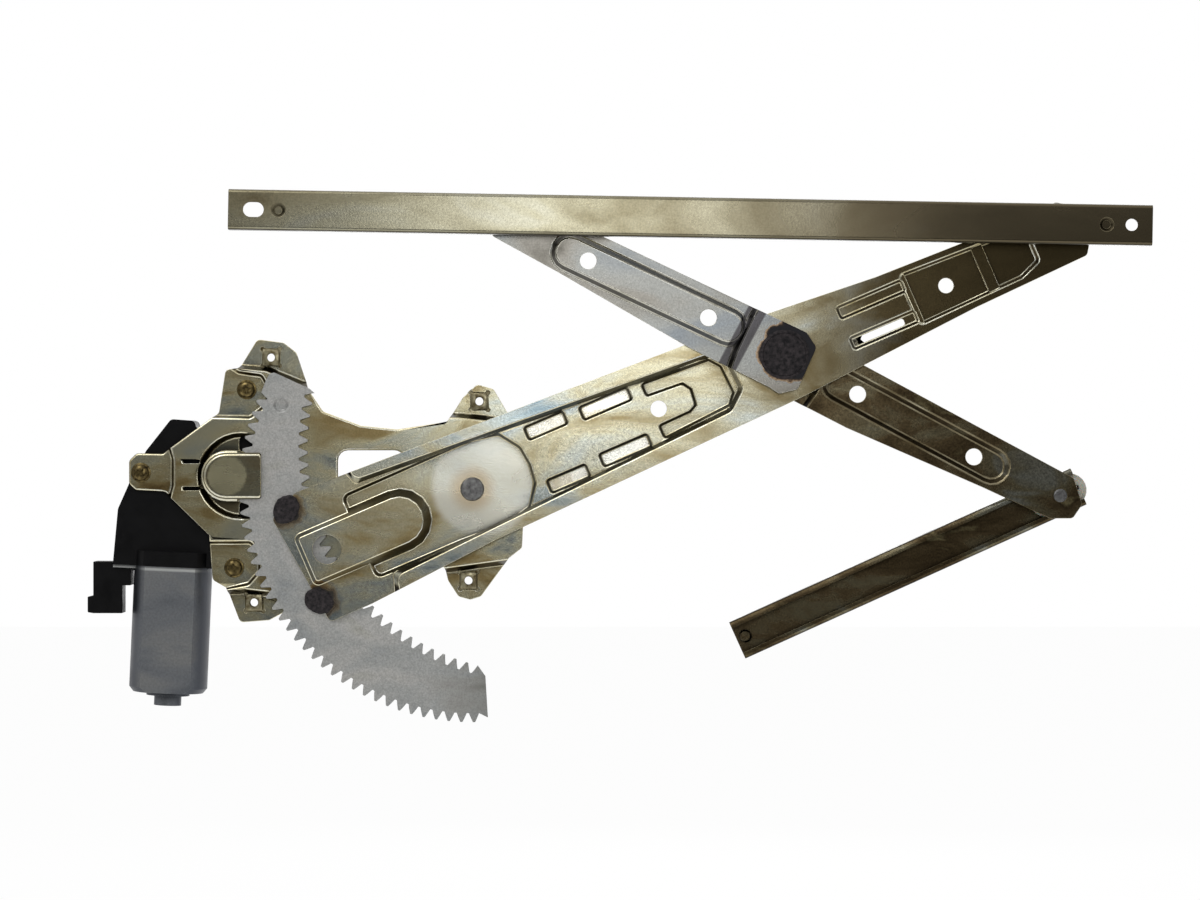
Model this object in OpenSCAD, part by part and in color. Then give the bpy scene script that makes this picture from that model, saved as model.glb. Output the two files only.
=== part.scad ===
// Cross-arm power window regulator for a car door, as seen from the glass side.
// X runs along the door, Z is up and -Y points at the viewer. The origin is the main
// pivot, on the front face of the base plate. Heights of the pressed sheets are given
// as w, the distance in front of that face.

/* [Sheet metal] */
// Thickness of the arm pressings
arm_sheet = 2; // [1.6:0.1:2.4]
// Thickness of the base plate
plate_sheet = 1.8; // [1.4:0.1:2.2]
// Thickness of the rolled rails
rail_sheet = 1.5; // [1.2:0.1:1.8]
// Thickness of the toothed sector
sector_sheet = 3; // [2.5:0.1:3.4]

/* [Arms] */
// Slope of the main arm in the stored pose
arm_tilt = 23.3; // [15:0.1:30]
// Main pivot to the cross hub
arm_reach = 203; // [200:1:208]
// Cross hub to each upper slider pin
upper_reach = 184.5; // [180:0.5:188]
// Cross hub to the lower slider pin
lower_reach = 186; // [182:0.5:190]
// Slope of the glass rail in the stored pose
rail_tilt = -1; // [-2:0.1:0]
// Angle between each arm's middle line and its slider pin
pin_offset = 1.4; // [1:0.1:2]
// Half the width of the main arm at its pivot
arm_half_width = 33.5; // [32.5:0.5:36]
// Half the width of the main arm at the cross hub
hub_half_width = 26.5; // [25:0.5:29]
// Running gap between an arm and its neighbour in front or behind
arm_gap = 1.2; // [0.8:0.1:1.6]

/* [Gears] */
// Gear module of the sector and the pinion
gear_module = 2.4; // [2.3:0.05:2.5]
// Teeth that a full wheel of the sector's size would have
sector_teeth = 115; // [113:1:117]
// Teeth of the pinion
pinion_teeth = 8; // [8:1:9]
// Side play between meshing teeth
backlash = 0.4; // [0.3:0.05:0.6]
// Teeth of the worm wheel
worm_wheel_teeth = 60; // [55:1:65]
// Tip radius of the worm wheel
worm_wheel_r = 26.8; // [25:0.1:27]

/* [Rails] */
// Length of the glass rail
glass_rail_length = 547.7; // [540:0.1:560]
// Glass rail end to the right slider pin
glass_rail_overhang = 49.8; // [48:0.1:56]
// Length of the lower rail
lower_rail_length = 225; // [220:1:240]
// Width of both rails
rail_width = 24; // [23.5:0.1:26]
// Depth of both rails
rail_depth = 11.5; // [11:0.1:13]
// Width that each lip covers, from the rail's side
rail_lip = 4; // [3:0.1:4.2]
// Slope of the lower rail in the stored pose
lower_rail_tilt = 24.3; // [15:0.1:30]

/* [Sliders] */
// Distance between the two round ends of a slider
slider_spread = 15; // [13:0.5:16]
// Slider pin to the small hole in each end of a slider
slider_hole_at = 11.3; // [10.5:0.1:12]
// Clearance of a slider in its rail
slider_play = 0.45; // [0.3:0.05:0.6]
// Radius of the slider pins
pin_r = 4; // [3.5:0.1:4.5]
// Radial clearance of running fits
running_fit = 0.05; // [0.02:0.01:0.1]

/* [Fasteners] */
// Bore radius of the weld nuts, M6 thread
nut_bore_r = 2.5; // [2.4:0.05:2.6]
// Side of the square weld nuts
nut_side = 10.2; // [9.5:0.1:11]
// Height of the weld nuts
nut_height = 5; // [4:0.1:6]
// Head radius of the motor screws
screw_head_r = 6; // [5:0.1:6.4]
// Shank radius of the motor screws
screw_r = 2.9; // [2.5:0.1:3]

/* [Motor] */
// Radius of the motor can's round sides
can_r = 23.5; // [22:0.1:25]
// Distance between the motor can's two flats
can_flats = 36; // [34:0.5:40]
// Length of the motor can
can_length = 76; // [72:1:85]
// Lean of the motor axis from upright
motor_lean = 2.5; // [0:0.1:4]
// Radius of the motor shaft
shaft_r = 4; // [3:0.1:4.4]
// Outer radius of the worm
worm_r = 4.6; // [4.5:0.05:4.7]

/* [Hidden] */
$fn = 48;
eps = 0.01;

// Heights of the pressed levels
plate_back = -plate_sheet;
sector_back = 1;
seat = sector_back + sector_sheet;
low_back = 1.4;
mid_back = seat;
top_back = mid_back + 3;
low_top = low_back + arm_sheet;
mid_top = mid_back + arm_sheet;
top_top = top_back + arm_sheet;
outer_pan_back = top_back - 1.8;
outer_pan_top = outer_pan_back + arm_sheet;
rib_rise = 3;
eq_front_back = top_top + arm_gap;
eq_front_top = eq_front_back + arm_sheet;
eq_rear_top = outer_pan_back - 1.6;
eq_rear_back = eq_rear_top - arm_sheet;
hub_front = eq_front_top + rib_rise + 1.2;
hub_rear = eq_rear_back - rib_rise - 1;

// Places of the joints, in X and Z
cross = arm_reach * [cos(arm_tilt), sin(arm_tilt)];
right_angle_up = arm_tilt + pin_offset;
left_angle_up = 180 - right_angle_up + 2 * rail_tilt;
lower_angle = -26.9;
pin_right = cross + upper_reach * [cos(right_angle_up), sin(right_angle_up)];
pin_left = cross + upper_reach * [cos(left_angle_up), sin(left_angle_up)];
pin_low = cross + lower_reach * [cos(lower_angle), sin(lower_angle)];

// Gear geometry
pressure = 25;
shift = 0.3;
sector_pitch_r = gear_module * sector_teeth / 2;
pinion_pitch_r = gear_module * pinion_teeth / 2;
gear_distance = sector_pitch_r + pinion_pitch_r;
pinion_angle = 176.94;
pinion_at = gear_distance * [cos(pinion_angle), sin(pinion_angle)];
sector_phase = 176.52;
mesh_offset = sector_phase - pinion_angle;
nest_shift = [35.6, 24.7];

// Rails and sliders
rail_front_back = hub_front + 1;
rail_rear_front = hub_rear - 0.8;
slider_end_r = (rail_width - 2 * rail_lip) / 2 - slider_play;
slider_wide_r = rail_width / 2 - rail_sheet - slider_play;
slider_reach = slider_spread / 2 + slider_wide_r;
stop_gap = 5;
stop_at = slider_reach + stop_gap;
pin_shoulder_r = 6;
pin_tip = rail_depth - rail_sheet - 0.6;

// Motor and gearbox
pad_top = -3;
pad_back = pad_top - plate_sheet;
ear_top = -7;
ear_back = ear_top - plate_sheet;
gearbox_front = pad_back;
gearbox_depth = 25;
gearbox_back = gearbox_front - gearbox_depth;
motor_w = gearbox_front - 13.2;
motor_gap = worm_wheel_r + worm_r + 0.25;
flange_drop = 56.2;
can_screw_spots = [[-24.2, -12.4], [6, -22.8]];
wheel_thick = 10;
can_wall = 1.6;
screw_places = [[-135.7, 59.7], [-199.3, 9.8], [-143.3, -47.4]];
nut_places = [[-121.4, 79], [3.9, 52.7], [-2.6, -55.1], [-131.5, -68.3]];
weld_places = [[-111.5, -12.6], [-92, -67.2]];
dome_r = 15;

// Finishes
ZINC = [0.72, 0.68, 0.54];
SILVER = [0.74, 0.75, 0.74];
STEEL = [0.58, 0.58, 0.57];
DARK_ZINC = [0.28, 0.24, 0.18];
SCORCHED = [0.13, 0.12, 0.11];
BLACK = [0.07, 0.07, 0.08];
NYLON = [0.75, 0.74, 0.7];
BRASS = [0.62, 0.5, 0.28];
COPPER = [0.66, 0.38, 0.22];

function unit(v) = v / norm(v);
function wrap(a) = a > 180 ? a - 360 : a < -180 ? a + 360 : a;
function polar(r, a) = r * [cos(a), sin(a)];

// Moves each edge of a counter-clockwise outline inwards by d
function inset(pts, d) = let (n = len(pts)) [
    for (i = [0:n - 1])
        let (
            a = unit(pts[i] - pts[(i + n - 1) % n]),
            b = unit(pts[(i + 1) % n] - pts[i]),
            m = [-a.y - b.y, a.x + b.x]
        )
        pts[i] + m * d / (1 + a * b)
];

// Rounds each corner of an outline with an arc of radius r; a very shallow corner stays
function rounded(pts, r) = let (n = len(pts)) [
    for (i = [0:n - 1])
        let (
            p = pts[i],
            u = unit(pts[(i + n - 1) % n] - p),
            v = unit(pts[(i + 1) % n] - p),
            half = acos(max(-0.9999, min(0.9999, u * v))) / 2,
            reach = r / tan(half),
            c = p + unit(u + v) * r / sin(half),
            from = p + u * reach - c,
            to = p + v * reach - c,
            start = atan2(from.y, from.x),
            sweep = wrap(atan2(to.y, to.x) - start),
            steps = abs(sweep) < 10 ? 0 : ceil(abs(sweep) / 22.5 - 0.05)
        )
        for (k = [0:steps]) steps == 0 ? p : c + polar(r, start + sweep * k / steps)
];

function ring(r, n = 32) = [for (i = [0:n - 1]) polar(r, 360 * i / n)];
function box2(x0, x1, y0, y1) = [[x0, y0], [x1, y0], [x1, y1], [x0, y1]];

// Turns the working plane so that z of what follows points at the viewer
module facing() {
    rotate([90, 0, 0]) children();
}

module at(p) {
    translate([p.x, p.y, 0]) children();
}

module slab(from, to) {
    translate([0, 0, from]) linear_extrude(to - from) children();
}

module peg(r, from, to) {
    translate([0, 0, from]) cylinder(r = r, h = to - from);
}

// Solid between two outlines with equal point counts
module loft(low, high, from, to) {
    n = len(low);
    polyhedron(
        points = concat(
            [for (p = low) [p.x, p.y, from]],
            [for (p = high) [p.x, p.y, to]]
        ),
        faces = concat(
            [[for (i = [0:n - 1]) i]],
            [[for (i = [0:n - 1]) 2 * n - 1 - i]],
            [for (i = [0:n - 1]) [i, n + i, n + (i + 1) % n, (i + 1) % n]]
        )
    );
}

// How far the hidden face of a sloping wall lies beside its visible face
function wall_shift(t, depth, run) = t * (1 - sin(atan2(run, depth))) / cos(atan2(run, depth));

// Space inside a pressed pan that is open at height top
module pan_space(pts, r, top, floor, run) {
    over = 0.5;
    slope = run / (top - floor);
    loft(
        rounded(inset(pts, run), r),
        rounded(inset(pts, -slope * over), r + run),
        floor, top + over
    );
}

// Metal under a pressed pan
module pan_metal(pts, r, top, floor, run, t) {
    k = wall_shift(t, top - floor, run);
    slope = run / (top - floor);
    loft(
        rounded(inset(pts, run - k), r + k),
        rounded(inset(pts, -k - slope * t), r + run + k),
        floor - t, top
    );
}

// Metal of a raised pressing that stands on height base
module boss_metal(pts, r, base, top, run) {
    loft(rounded(pts, r + run), rounded(inset(pts, run), r), base, top);
}

// Space behind a raised pressing
module boss_space(pts, r, base, top, run, t) {
    k = wall_shift(t, top - base, run);
    over = 0.5;
    slope = run / (top - base);
    loft(
        rounded(inset(pts, k - slope * over), r + run),
        rounded(inset(pts, run + k), r),
        base - t - over, top - t
    );
}

// Involute teeth

function involute(a) = tan(a) * 180 / PI - a;
function tooth_half(z, x, r) =
    let (
        pitch_r = gear_module * z / 2,
        width = gear_module * (PI / 2 + 2 * x * tan(pressure)) - backlash / 2,
        base_r = pitch_r * cos(pressure)
    )
    width / (2 * pitch_r) * 180 / PI + involute(pressure)
        - (r > base_r ? involute(acos(base_r / r)) : 0);
function tip_r(z, x) = gear_module * (z / 2 + 1 + x);
function root_r(z, x) = gear_module * (z / 2 - 1.25 + x);
function tooth(z, x, mid, steps = 4) =
    let (
        low = root_r(z, x),
        start = max(low, gear_module * z / 2 * cos(pressure)),
        high = tip_r(z, x),
        radii = concat(low < start ? [low] : [], [for (i = [0:steps]) start + (high - start) * i / steps])
    )
    concat(
        [for (r = radii) polar(r, mid - tooth_half(z, x, r))],
        [for (i = [len(radii) - 1:-1:0]) polar(radii[i], mid + tooth_half(z, x, radii[i]))]
    );
function tooth_row(z, x, phase, first, last) = [
    for (k = [first:last]) for (p = tooth(z, x, phase + k * 360 / z)) p
];

// The sector is blanked from strip, so its inner edge repeats the teeth of the next blank
module sector_outline() {
    inner = tooth_row(sector_teeth, -shift, sector_phase, -3, 25);
    outer = tooth_row(sector_teeth, -shift, sector_phase, -6, 30);
    tip = tip_r(sector_teeth, -shift);
    polygon(concat(
        [[-121.5, 69], [-118.6, 69.8], [-97.6, 60.2]],
        [for (p = inner) p + nest_shift],
        [[7.8, -112], [9.3, -136.8]],
        [for (i = [len(outer) - 1:-1:0]) outer[i]],
        [polar(tip - 5.4, 156.2), polar(tip - 0.6, 155.4), polar(tip, 152.3)]
    ));
}

module sector_gear() {
    color(STEEL) facing() difference() {
        slab(sector_back, seat) sector_outline();
        at([-114.7, 50.4]) translate([0, 0, seat - 1.2]) cylinder(r1 = 3, r2 = 4.8, h = 1.3);
        for (p = weld_places) at(p) peg(4 + running_fit, 0, 8);
    }
}

// Two plug welds join the sector to the arm
module sector_welds() {
    color(SCORCHED) facing() for (p = weld_places) at(p) {
        peg(4, sector_back + 0.2, mid_top);
        translate([0, 0, mid_top]) cylinder(r1 = 8.4, r2 = 6.4, h = 1.1);
    }
}

// Main arm

main_outline = [
    [-117, 31], [-109.5, -39.5], [-82, -39.3], [0, -arm_half_width],
    [arm_reach, -hub_half_width - 1], [320, -19.4], [393, -17], [403, -2], [400, 12], [388, 19.5],
    [330, 19.2], [272, 21], [arm_reach, hub_half_width], [0, arm_half_width + 2.2],
    [-73, 38.6], [-98, 40]
];
main_pan = [
    [-150, -70], [-74, -70], [-61, -30], [40, -25.5], [161, -19], [173, -9],
    [172, 8], [164, 18.5], [40, 26.5], [-61, 33], [-74, 70], [-150, 70]
];
low_area = [
    [-74, -27], [-18, -27], [10, -28.5], [28, -24.5], [37, -12], [38.5, 0],
    [37, 12], [28, 25], [10, 28.5], [-18, 28], [-74, 27.5]
];
tongue_parts = [box2(-112, -28, -19, 19), box2(-112, -75, -19, 19)];
tongue_r = [14, 1.5];
small_pans = [
    box2(42, 69, 12.5, 22.5), box2(77, 110, 10.5, 20.5),
    box2(42, 69, -22, -12), box2(77, 110, -20, -10)
];
horseshoe = [
    [117, -18.5], [162, -15.5], [167.5, -9], [166.5, 9], [161, 16], [117, 18.5],
    [117, 9], [140, 7.5], [143, 3], [142, -6], [138, -8], [117, -8.5]
];
outer_pan = [[284, -16.5], [352, -14.5], [366, -9], [366, 7], [352, 14.5], [284, 17]];
cross_ribs = [284.5, 334];
finger_slots = [9.8, -10];
side_beads = [-19.6, 20.2];

module main_frame() {
    facing() rotate([0, 0, arm_tilt]) children();
}

module tongue_metal() {
    for (i = [0, 1]) boss_metal(tongue_parts[i], tongue_r[i], low_top, top_top, 5);
}

// The sheet before its bores
module arm_pressing() {
    difference() {
        intersection() {
            slab(low_back, top_top + 1) polygon(rounded(main_outline, 3));
            union() {
                slab(top_back, top_top) polygon(box2(-72, 420, -60, 60));
                pan_metal(main_pan, 3, top_top, mid_top, 3, arm_sheet);
                pan_metal(low_area, 3, mid_top, low_top, 2, arm_sheet);
                tongue_metal();
                for (p = small_pans) pan_metal(p, 1, mid_top, low_top, 1.8, arm_sheet);
                pan_metal(horseshoe, 1, mid_top, low_top, 1.8, arm_sheet);
                pan_metal(outer_pan, 2, top_top, outer_pan_top, 2, arm_sheet);
                for (v = finger_slots) {
                    pan_metal(box2(242, 286, v - 4.6, v + 4.6), 0.8, top_top, outer_pan_top, 2, arm_sheet);
                }
            }
        }
        difference() {
            union() {
                pan_space(main_pan, 3, top_top, mid_top, 3);
                pan_space(low_area, 3, mid_top, low_top, 2);
                for (p = small_pans) pan_space(p, 1, mid_top, low_top, 1.8);
                pan_space(horseshoe, 1, mid_top, low_top, 1.8);
            }
            tongue_metal();
        }
        for (i = [0, 1]) boss_space(tongue_parts[i], tongue_r[i], low_top, top_top, 5, arm_sheet);
        difference() {
            pan_space(outer_pan, 2, top_top, outer_pan_top, 2);
            for (u = cross_ribs) translate([u - 3.4, -30, 0]) cube([6.8, 60, top_top - 0.6]);
        }
        for (v = finger_slots) {
            pan_space(box2(242, 286, v - 4.6, v + 4.6), 0.8, top_top, outer_pan_top, 2);
        }
        slab(0, 12) polygon(rounded(box2(249, 277, finger_slots[1] - 2.4, finger_slots[1] + 2.4), 2));
        slab(low_back - 1, seat) polygon(box2(-130, -78, -60, 60));
    }
}

// The bores are cut from the finished pressing, so that they stay round
module main_arm() {
    pin_local = [arm_reach, 0] + upper_reach * [cos(pin_offset), sin(pin_offset)];
    color(ZINC) main_frame() difference() {
        resize([0, 0, top_top - low_back]) arm_pressing();
        at([-93.9, 1.2]) peg(8.7, 0, 12);
        at([121.5, 0]) peg(4.9, 0, 12);
        at([308.4, -0.3]) peg(4.5, 0, 12);
        peg(6 + running_fit, 0, 12);
        at([arm_reach, 0]) peg(9 + running_fit, 0, 12);
        at(pin_local) peg(pin_r + running_fit, 0, 12);
        for (p = weld_places) rotate([0, 0, -arm_tilt]) at(p) peg(4 + running_fit, 0, 12);
    }
}

// Rivet with a shoulder, a journal for a slider and a flat head on the other side
module slider_pin(from, to, face, sheet_back, head) {
    peg(pin_r, face, to);
    peg(pin_shoulder_r, face, from);
    peg(pin_r, sheet_back - eps, face + eps);
    peg(head, sheet_back - 0.8, sheet_back);
}

module rail_pin_right() {
    color(STEEL) facing() at(pin_right)
        slider_pin(rail_front_back - 0.7, rail_front_back + pin_tip, top_top, top_back, 5.5);
}

module rail_pin_left() {
    color(STEEL) facing() at(pin_left)
        slider_pin(rail_front_back - 0.7, rail_front_back + pin_tip, eq_front_top, eq_front_back, 5.5);
}

module lower_pin() {
    color(STEEL) facing() at(pin_low) mirror([0, 0, 1])
        slider_pin(-rail_rear_front - 0.7, -rail_rear_front + pin_tip, -eq_rear_back, -eq_rear_top, 3.4);
}

// Equalizer: one pressing, used in front of the main arm and turned over behind it

function eq_outline(reach) = [
    [-15.4, -12], [-6.3, -17.5], [reach - 54, -17.3], [reach + 2, -17.5], [reach + 14, -6],
    [reach + 13, 4], [reach + 1, 10.5], [reach - 43, 13.2], [54, 20.5], [0, 21.5], [-7, 22.6], [-16, 15.3]
];
function eq_rib(reach) = box2(26, reach - 33, -12.2, 11);
eq_joggle = [[-30, -40], [26, -40], [29, -12.2], [29, 11], [26, 40], [-30, 40]];
function eq_holes(reach) = [50.4, reach - 56.4];

// The same press tool serves both halves
module equalizer_pressing(reach) {
    rise = arm_sheet + rib_rise;
    resize([0, 0, rise]) difference() {
        intersection() {
            slab(0, rise) polygon(rounded(eq_outline(reach), 3));
            union() {
                slab(0, arm_sheet) polygon(box2(20, reach + 24, -60, 60));
                boss_metal(eq_rib(reach), 8, arm_sheet, rise, 3);
                boss_metal(eq_joggle, 2, arm_sheet, rise, 3);
            }
        }
        boss_space(eq_rib(reach), 8, arm_sheet, rise, 3, arm_sheet);
        boss_space(eq_joggle, 2, arm_sheet, rise, 3, arm_sheet);
    }
}

module equalizer_bores(reach) {
    for (u = eq_holes(reach)) at([u, -0.5]) peg(5, -1, 10);
    peg(8, -1, 10);
}

module equalizer_upper() {
    color(SILVER) facing() difference() {
        at(cross) rotate([0, 0, left_angle_up + pin_offset]) translate([0, 0, eq_front_back]) difference() {
            equalizer_pressing(upper_reach + 1.5);
            equalizer_bores(upper_reach + 1.5);
        }
        at(pin_left) peg(pin_r + running_fit, 0, 20);
    }
}

module equalizer_lower() {
    color(DARK_ZINC) facing() difference() {
        at(cross) rotate([0, 0, lower_angle - pin_offset]) translate([0, 0, eq_rear_top])
            rotate([180, 0, 0]) difference() {
                equalizer_pressing(lower_reach);
                equalizer_bores(lower_reach);
            }
        at(pin_low) peg(pin_r + running_fit, -10, 20);
    }
}

module cross_hub() {
    flange_r = 14;
    front_face = eq_front_back + rib_rise;
    rear_face = eq_rear_top - rib_rise;
    color(STEEL) facing() at(cross) {
        peg(9, rear_face, front_face);
        peg(flange_r, rear_face, top_back - 0.3);
        peg(flange_r, top_top + 0.3, front_face);
        peg(8 - running_fit, hub_rear, hub_front - 1);
    }
}

module hub_cap() {
    face = eq_front_top + rib_rise;
    color(SCORCHED) facing() at(cross) difference() {
        peg(12.6, face, hub_front);
        peg(8, face - 1, hub_front - 1 + running_fit);
    }
}

module hub_weld() {
    face = eq_front_top + rib_rise;
    rear = eq_rear_back - rib_rise;
    color(SCORCHED) facing() at(cross) {
        difference() {
            translate([0, 0, face]) cylinder(r1 = 15, r2 = 13.2, h = 0.9);
            peg(12.6 + running_fit, face - 1, face + 2);
        }
        difference() {
            translate([0, 0, rear - 0.9]) cylinder(r1 = 10.5, r2 = 12, h = 0.9);
            peg(8, rear - 2, rear + 1);
        }
    }
}

// Sliders, rails

function dogbone(end_r, waist) = let (a = asin(waist / end_r)) concat(
    [for (k = [0:16]) [slider_spread / 2, 0] + polar(end_r, -180 + a + (360 - 2 * a) * k / 16)],
    [for (k = [0:16]) [-slider_spread / 2, 0] + polar(end_r, a + (360 - 2 * a) * k / 16)]
);

module slider(tilt) {
    body_from = rail_sheet + slider_play;
    body_to = rail_depth - rail_sheet - slider_play;
    rotate([0, 0, tilt]) difference() {
        union() {
            slab(-0.3, body_from + eps) polygon(dogbone(slider_end_r, 5.5));
            slab(body_from, body_to) polygon(dogbone(slider_wide_r, 7.5));
        }
        peg(pin_r + running_fit, -1, rail_depth);
        for (s = [-1, 1]) translate([s * slider_hole_at, 0, 0]) peg(1.7, -1, rail_depth);
    }
}

module rail_slider_right() {
    color(NYLON) facing() at(pin_right) translate([0, 0, rail_front_back]) slider(rail_tilt);
}

module rail_slider_left() {
    color(NYLON) facing() at(pin_left) translate([0, 0, rail_front_back]) slider(rail_tilt);
}

module lower_slider() {
    color(NYLON) facing() at(pin_low) translate([0, 0, rail_rear_front]) mirror([0, 0, 1])
        slider(lower_rail_tilt);
}

// Cross-section of a rolled rail: y across it, x from its lips to its web
module rail_section() {
    half = rail_width / 2;
    bend = 2.2;
    difference() {
        polygon(rounded(box2(0, rail_depth, -half, half), bend));
        polygon(rounded(
            box2(rail_sheet, rail_depth - rail_sheet, rail_sheet - half, half - rail_sheet), bend - 1
        ));
        polygon(box2(-1, rail_sheet + 1, rail_lip - half, half - rail_lip));
    }
}

// Rail along x, with its lips at z 0 and its web at z rail_depth
module rail(from, to) {
    translate([from, 0, 0]) rotate([90, 0, 90]) linear_extrude(to - from)
        rotate([0, 0, 90]) mirror([0, 1, 0]) rail_section();
}

// Round dimples pressed into the web are the stops of the sliders
module dimple_metal(s) {
    web = rail_depth - rail_sheet;
    translate([s, 0, web - 1.7]) cylinder(r1 = 2.8, r2 = 4.2, h = 1.9);
}

module dimple_space(s) {
    web = rail_depth - rail_sheet;
    translate([s, 0, web - 0.3]) cylinder(r1 = 2.4, r2 = 4.4, h = 1.9);
}

module glass_rail() {
    left = glass_rail_overhang - glass_rail_length;
    web = rail_depth - rail_sheet;
    stops = [left + 29.7, stop_at];
    color(ZINC) facing() at(pin_right) rotate([0, 0, rail_tilt]) translate([0, 0, rail_front_back])
        difference() {
            union() {
                rail(left, glass_rail_overhang);
                for (s = stops) dimple_metal(s);
            }
            for (s = stops) dimple_space(s);
            translate([left + 15, 0, 0]) slab(web - 1, rail_depth + 1) {
                square([3.4, 8.8], center = true);
                for (s = [-1.7, 1.7]) translate([s, 0]) circle(r = 4.4);
            }
            translate([glass_rail_overhang - 12.5, 0, 0]) peg(3.6, web - 1, rail_depth + 1);
        }
}

module lower_rail() {
    right = 13;
    left = right - lower_rail_length;
    color(DARK_ZINC) facing() at(pin_low) rotate([0, 0, lower_rail_tilt])
        translate([0, 0, rail_rear_front]) mirror([0, 0, 1]) difference() {
            union() {
                rail(left, right);
                dimple_metal(left + 5.5);
            }
            dimple_space(left + 5.5);
        }
}

// Base plate

plate_outline = [
    [-206.5, 3], [-202.6, -0.8], [-184.8, -1.8], [-158.1, -27.8], [-156.3, -54.6], [-147.9, -59.4],
    [-140.1, -80.4], [-122.5, -79.1], [-106, -70], [-60, -46], [-17.1, -46], [-15, -55.2],
    [-8.7, -64.8], [-1.5, -66.8], [4.8, -64.8], [21.9, -41.4], [29.7, -35.4], [31.5, 0],
    [21.1, 45.4], [12.5, 60], [2.5, 63], [-6, 55], [-15.3, 40.4], [-45.3, 35.8],
    [-66.9, 38], [-89.7, 46.5], [-98.7, 60], [-106.2, 82], [-114, 88], [-129.7, 90],
    [-140.5, 72.5], [-148.5, 71.7], [-152.5, 45.6], [-169.1, 33.6], [-186, 21.2], [-202, 21.4], [-206.5, 17]
];
window = [[-80.7, -28], [-42, -28], [-37, 0], [-42, 23.2], [-80.7, 23.2]];
dish = [-138.9, 7.8];
pads = [
    [[-180, 43], [-133, 42], [-123, 50], [-122, 62], [-126, 69], [-140, 71], [-170, 90]],
    [[-230, -15], [-184, -15], [-179, 2], [-179, 18], [-184, 35], [-230, 35]],
    [[-180, -31.5], [-180, -75], [-152, -62], [-134, -58], [-127, -50], [-127, -38], [-133, -31]]
];
ears = [
    [[-160, 72], [-142, 72], [-124, 70.5], [-98, 60], [-80, 60], [-80, 110], [-160, 110]],
    [[-165, -120], [-90, -120], [-100, -72], [-118, -62], [-136, -60], [-150, -61], [-165, -61]],
    [[-40, 80], [-30, 43], [-8, 42.5], [12, 40.5], [22, 33], [45, 33], [45, 80]],
    [[-40, -90], [45, -90], [45, -46], [24, -42], [10, -44], [-16, -47.5], [-40, -47.5]]
];

// Slots at the root of the left tongue
tongue_slots = [[-168.6, 16.5], [-168.6, 0.3]];

// Where the plate's upper edge is folded back
rim_region = [[-93, 70], [-93, 30], [-60, 30], [-18, 30], [-18, 70]];

module plate_pressing() {
    difference() {
        union() {
            intersection() {
                slab(ear_back, 0) polygon(rounded(plate_outline, 3));
                union() {
                    slab(plate_back, 0) polygon(box2(-260, 60, -120, 120));
                    at(dish) pan_metal(ring(26.1), 1, 0, pad_top, 3, plate_sheet);
                    for (p = pads) pan_metal(counter_clockwise(p), 2, 0, pad_top, 2, plate_sheet);
                    for (p = ears) pan_metal(counter_clockwise(p), 2, 0, ear_top, 3, plate_sheet);
                }
            }
            intersection() {
                slab(-6, 0) difference() {
                    polygon(rounded(plate_outline, 3));
                    polygon(inset(plate_outline, plate_sheet));
                }
                slab(-6, 0) polygon(rim_region);
            }
            dome();
        }
        difference() {
            union() {
                at(dish) pan_space(ring(26.1), 1, 0, pad_top, 3);
                for (p = pads) pan_space(counter_clockwise(p), 2, 0, pad_top, 2);
                for (p = ears) pan_space(counter_clockwise(p), 2, 0, ear_top, 3);
            }
            dome();
        }
        slab(-10, 1) polygon(rounded(window, 6));
        at(pinion_at) peg(dome_r - plate_sheet, pad_back - 1, pad_top + 1);
        for (z = [27, -12.5]) at([-134.2, z]) slab(-10, 1) polygon(rounded(box2(-6, 6, -4.5, 4.5), 2));
    }
}

module base_plate() {
    color(ZINC) facing() difference() {
        resize([0, 0, seat + 1.4 + plate_sheet - ear_back]) plate_pressing();
        peg(6, -10, 1);
        for (p = screw_places) at(p) peg(screw_r + 0.2, -10, 1);
        for (p = nut_places) at(p) {
            slab(-12, 1) square(nut_side + 0.1, center = true);
            for (a = [45:90:315]) at(polar(nut_side * 0.71, a)) peg(1.3, -12, 1);
        }
        for (p = tongue_slots) at(p) slab(-12, 1) polygon(rounded(box2(-5, 5, -1.1, 1.1), 0.8));
    }
}

// Outlines above may run either way round
function area2(p) = let (n = len(p))
    [for (i = [0:n - 1]) let (q = p[(i + 1) % n]) p[i].x * q.y - q.x * p[i].y] * [for (i = [0:n - 1]) 1];
function counter_clockwise(p) = area2(p) > 0 ? p : [for (i = [len(p) - 1:-1:0]) p[i]];

// Outline of the hood, r about the pinion
function hood_shape(r) = let (mouth = -126.3 - pinion_at.x) concat(
    [for (k = [0:12]) polar(r, 90 + 15 * k)],
    [[mouth - 1, -r], [mouth, 1 - r], [mouth, r - 1], [mouth - 1, r]]
);

// Hood over the pinion, open towards the sector
module dome() {
    roof = seat + 1.4;
    clear_x = -tip_r(sector_teeth, -shift) - 0.9 - pinion_at.x;
    at(pinion_at) difference() {
        union() {
            slab(pad_back, roof) polygon(hood_shape(dome_r));
            loft(hood_shape(dome_r - 0.2), hood_shape(dome_r - 2.4), roof - 0.5, roof + plate_sheet);
        }
        peg(dome_r - plate_sheet, pad_back - 1, roof);
        slab(pad_back - 1, roof) polygon(box2(clear_x, 40, -60, 60));
    }
}

module weld_nuts() {
    color(SILVER) facing() for (p = nut_places) at(p) difference() {
        slab(ear_back, ear_back + nut_height) square(nut_side, center = true);
        peg(nut_bore_r, ear_back - 1, 0);
    }
}

module pivot_rivet() {
    color(STEEL) facing() {
        peg(6, plate_back, low_top + 0.35);
        translate([0, 0, low_top + 0.3]) cylinder(r1 = 7.3, r2 = 6.6, h = 1.8);
        peg(9, plate_back - 1.8, plate_back);
    }
}

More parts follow.
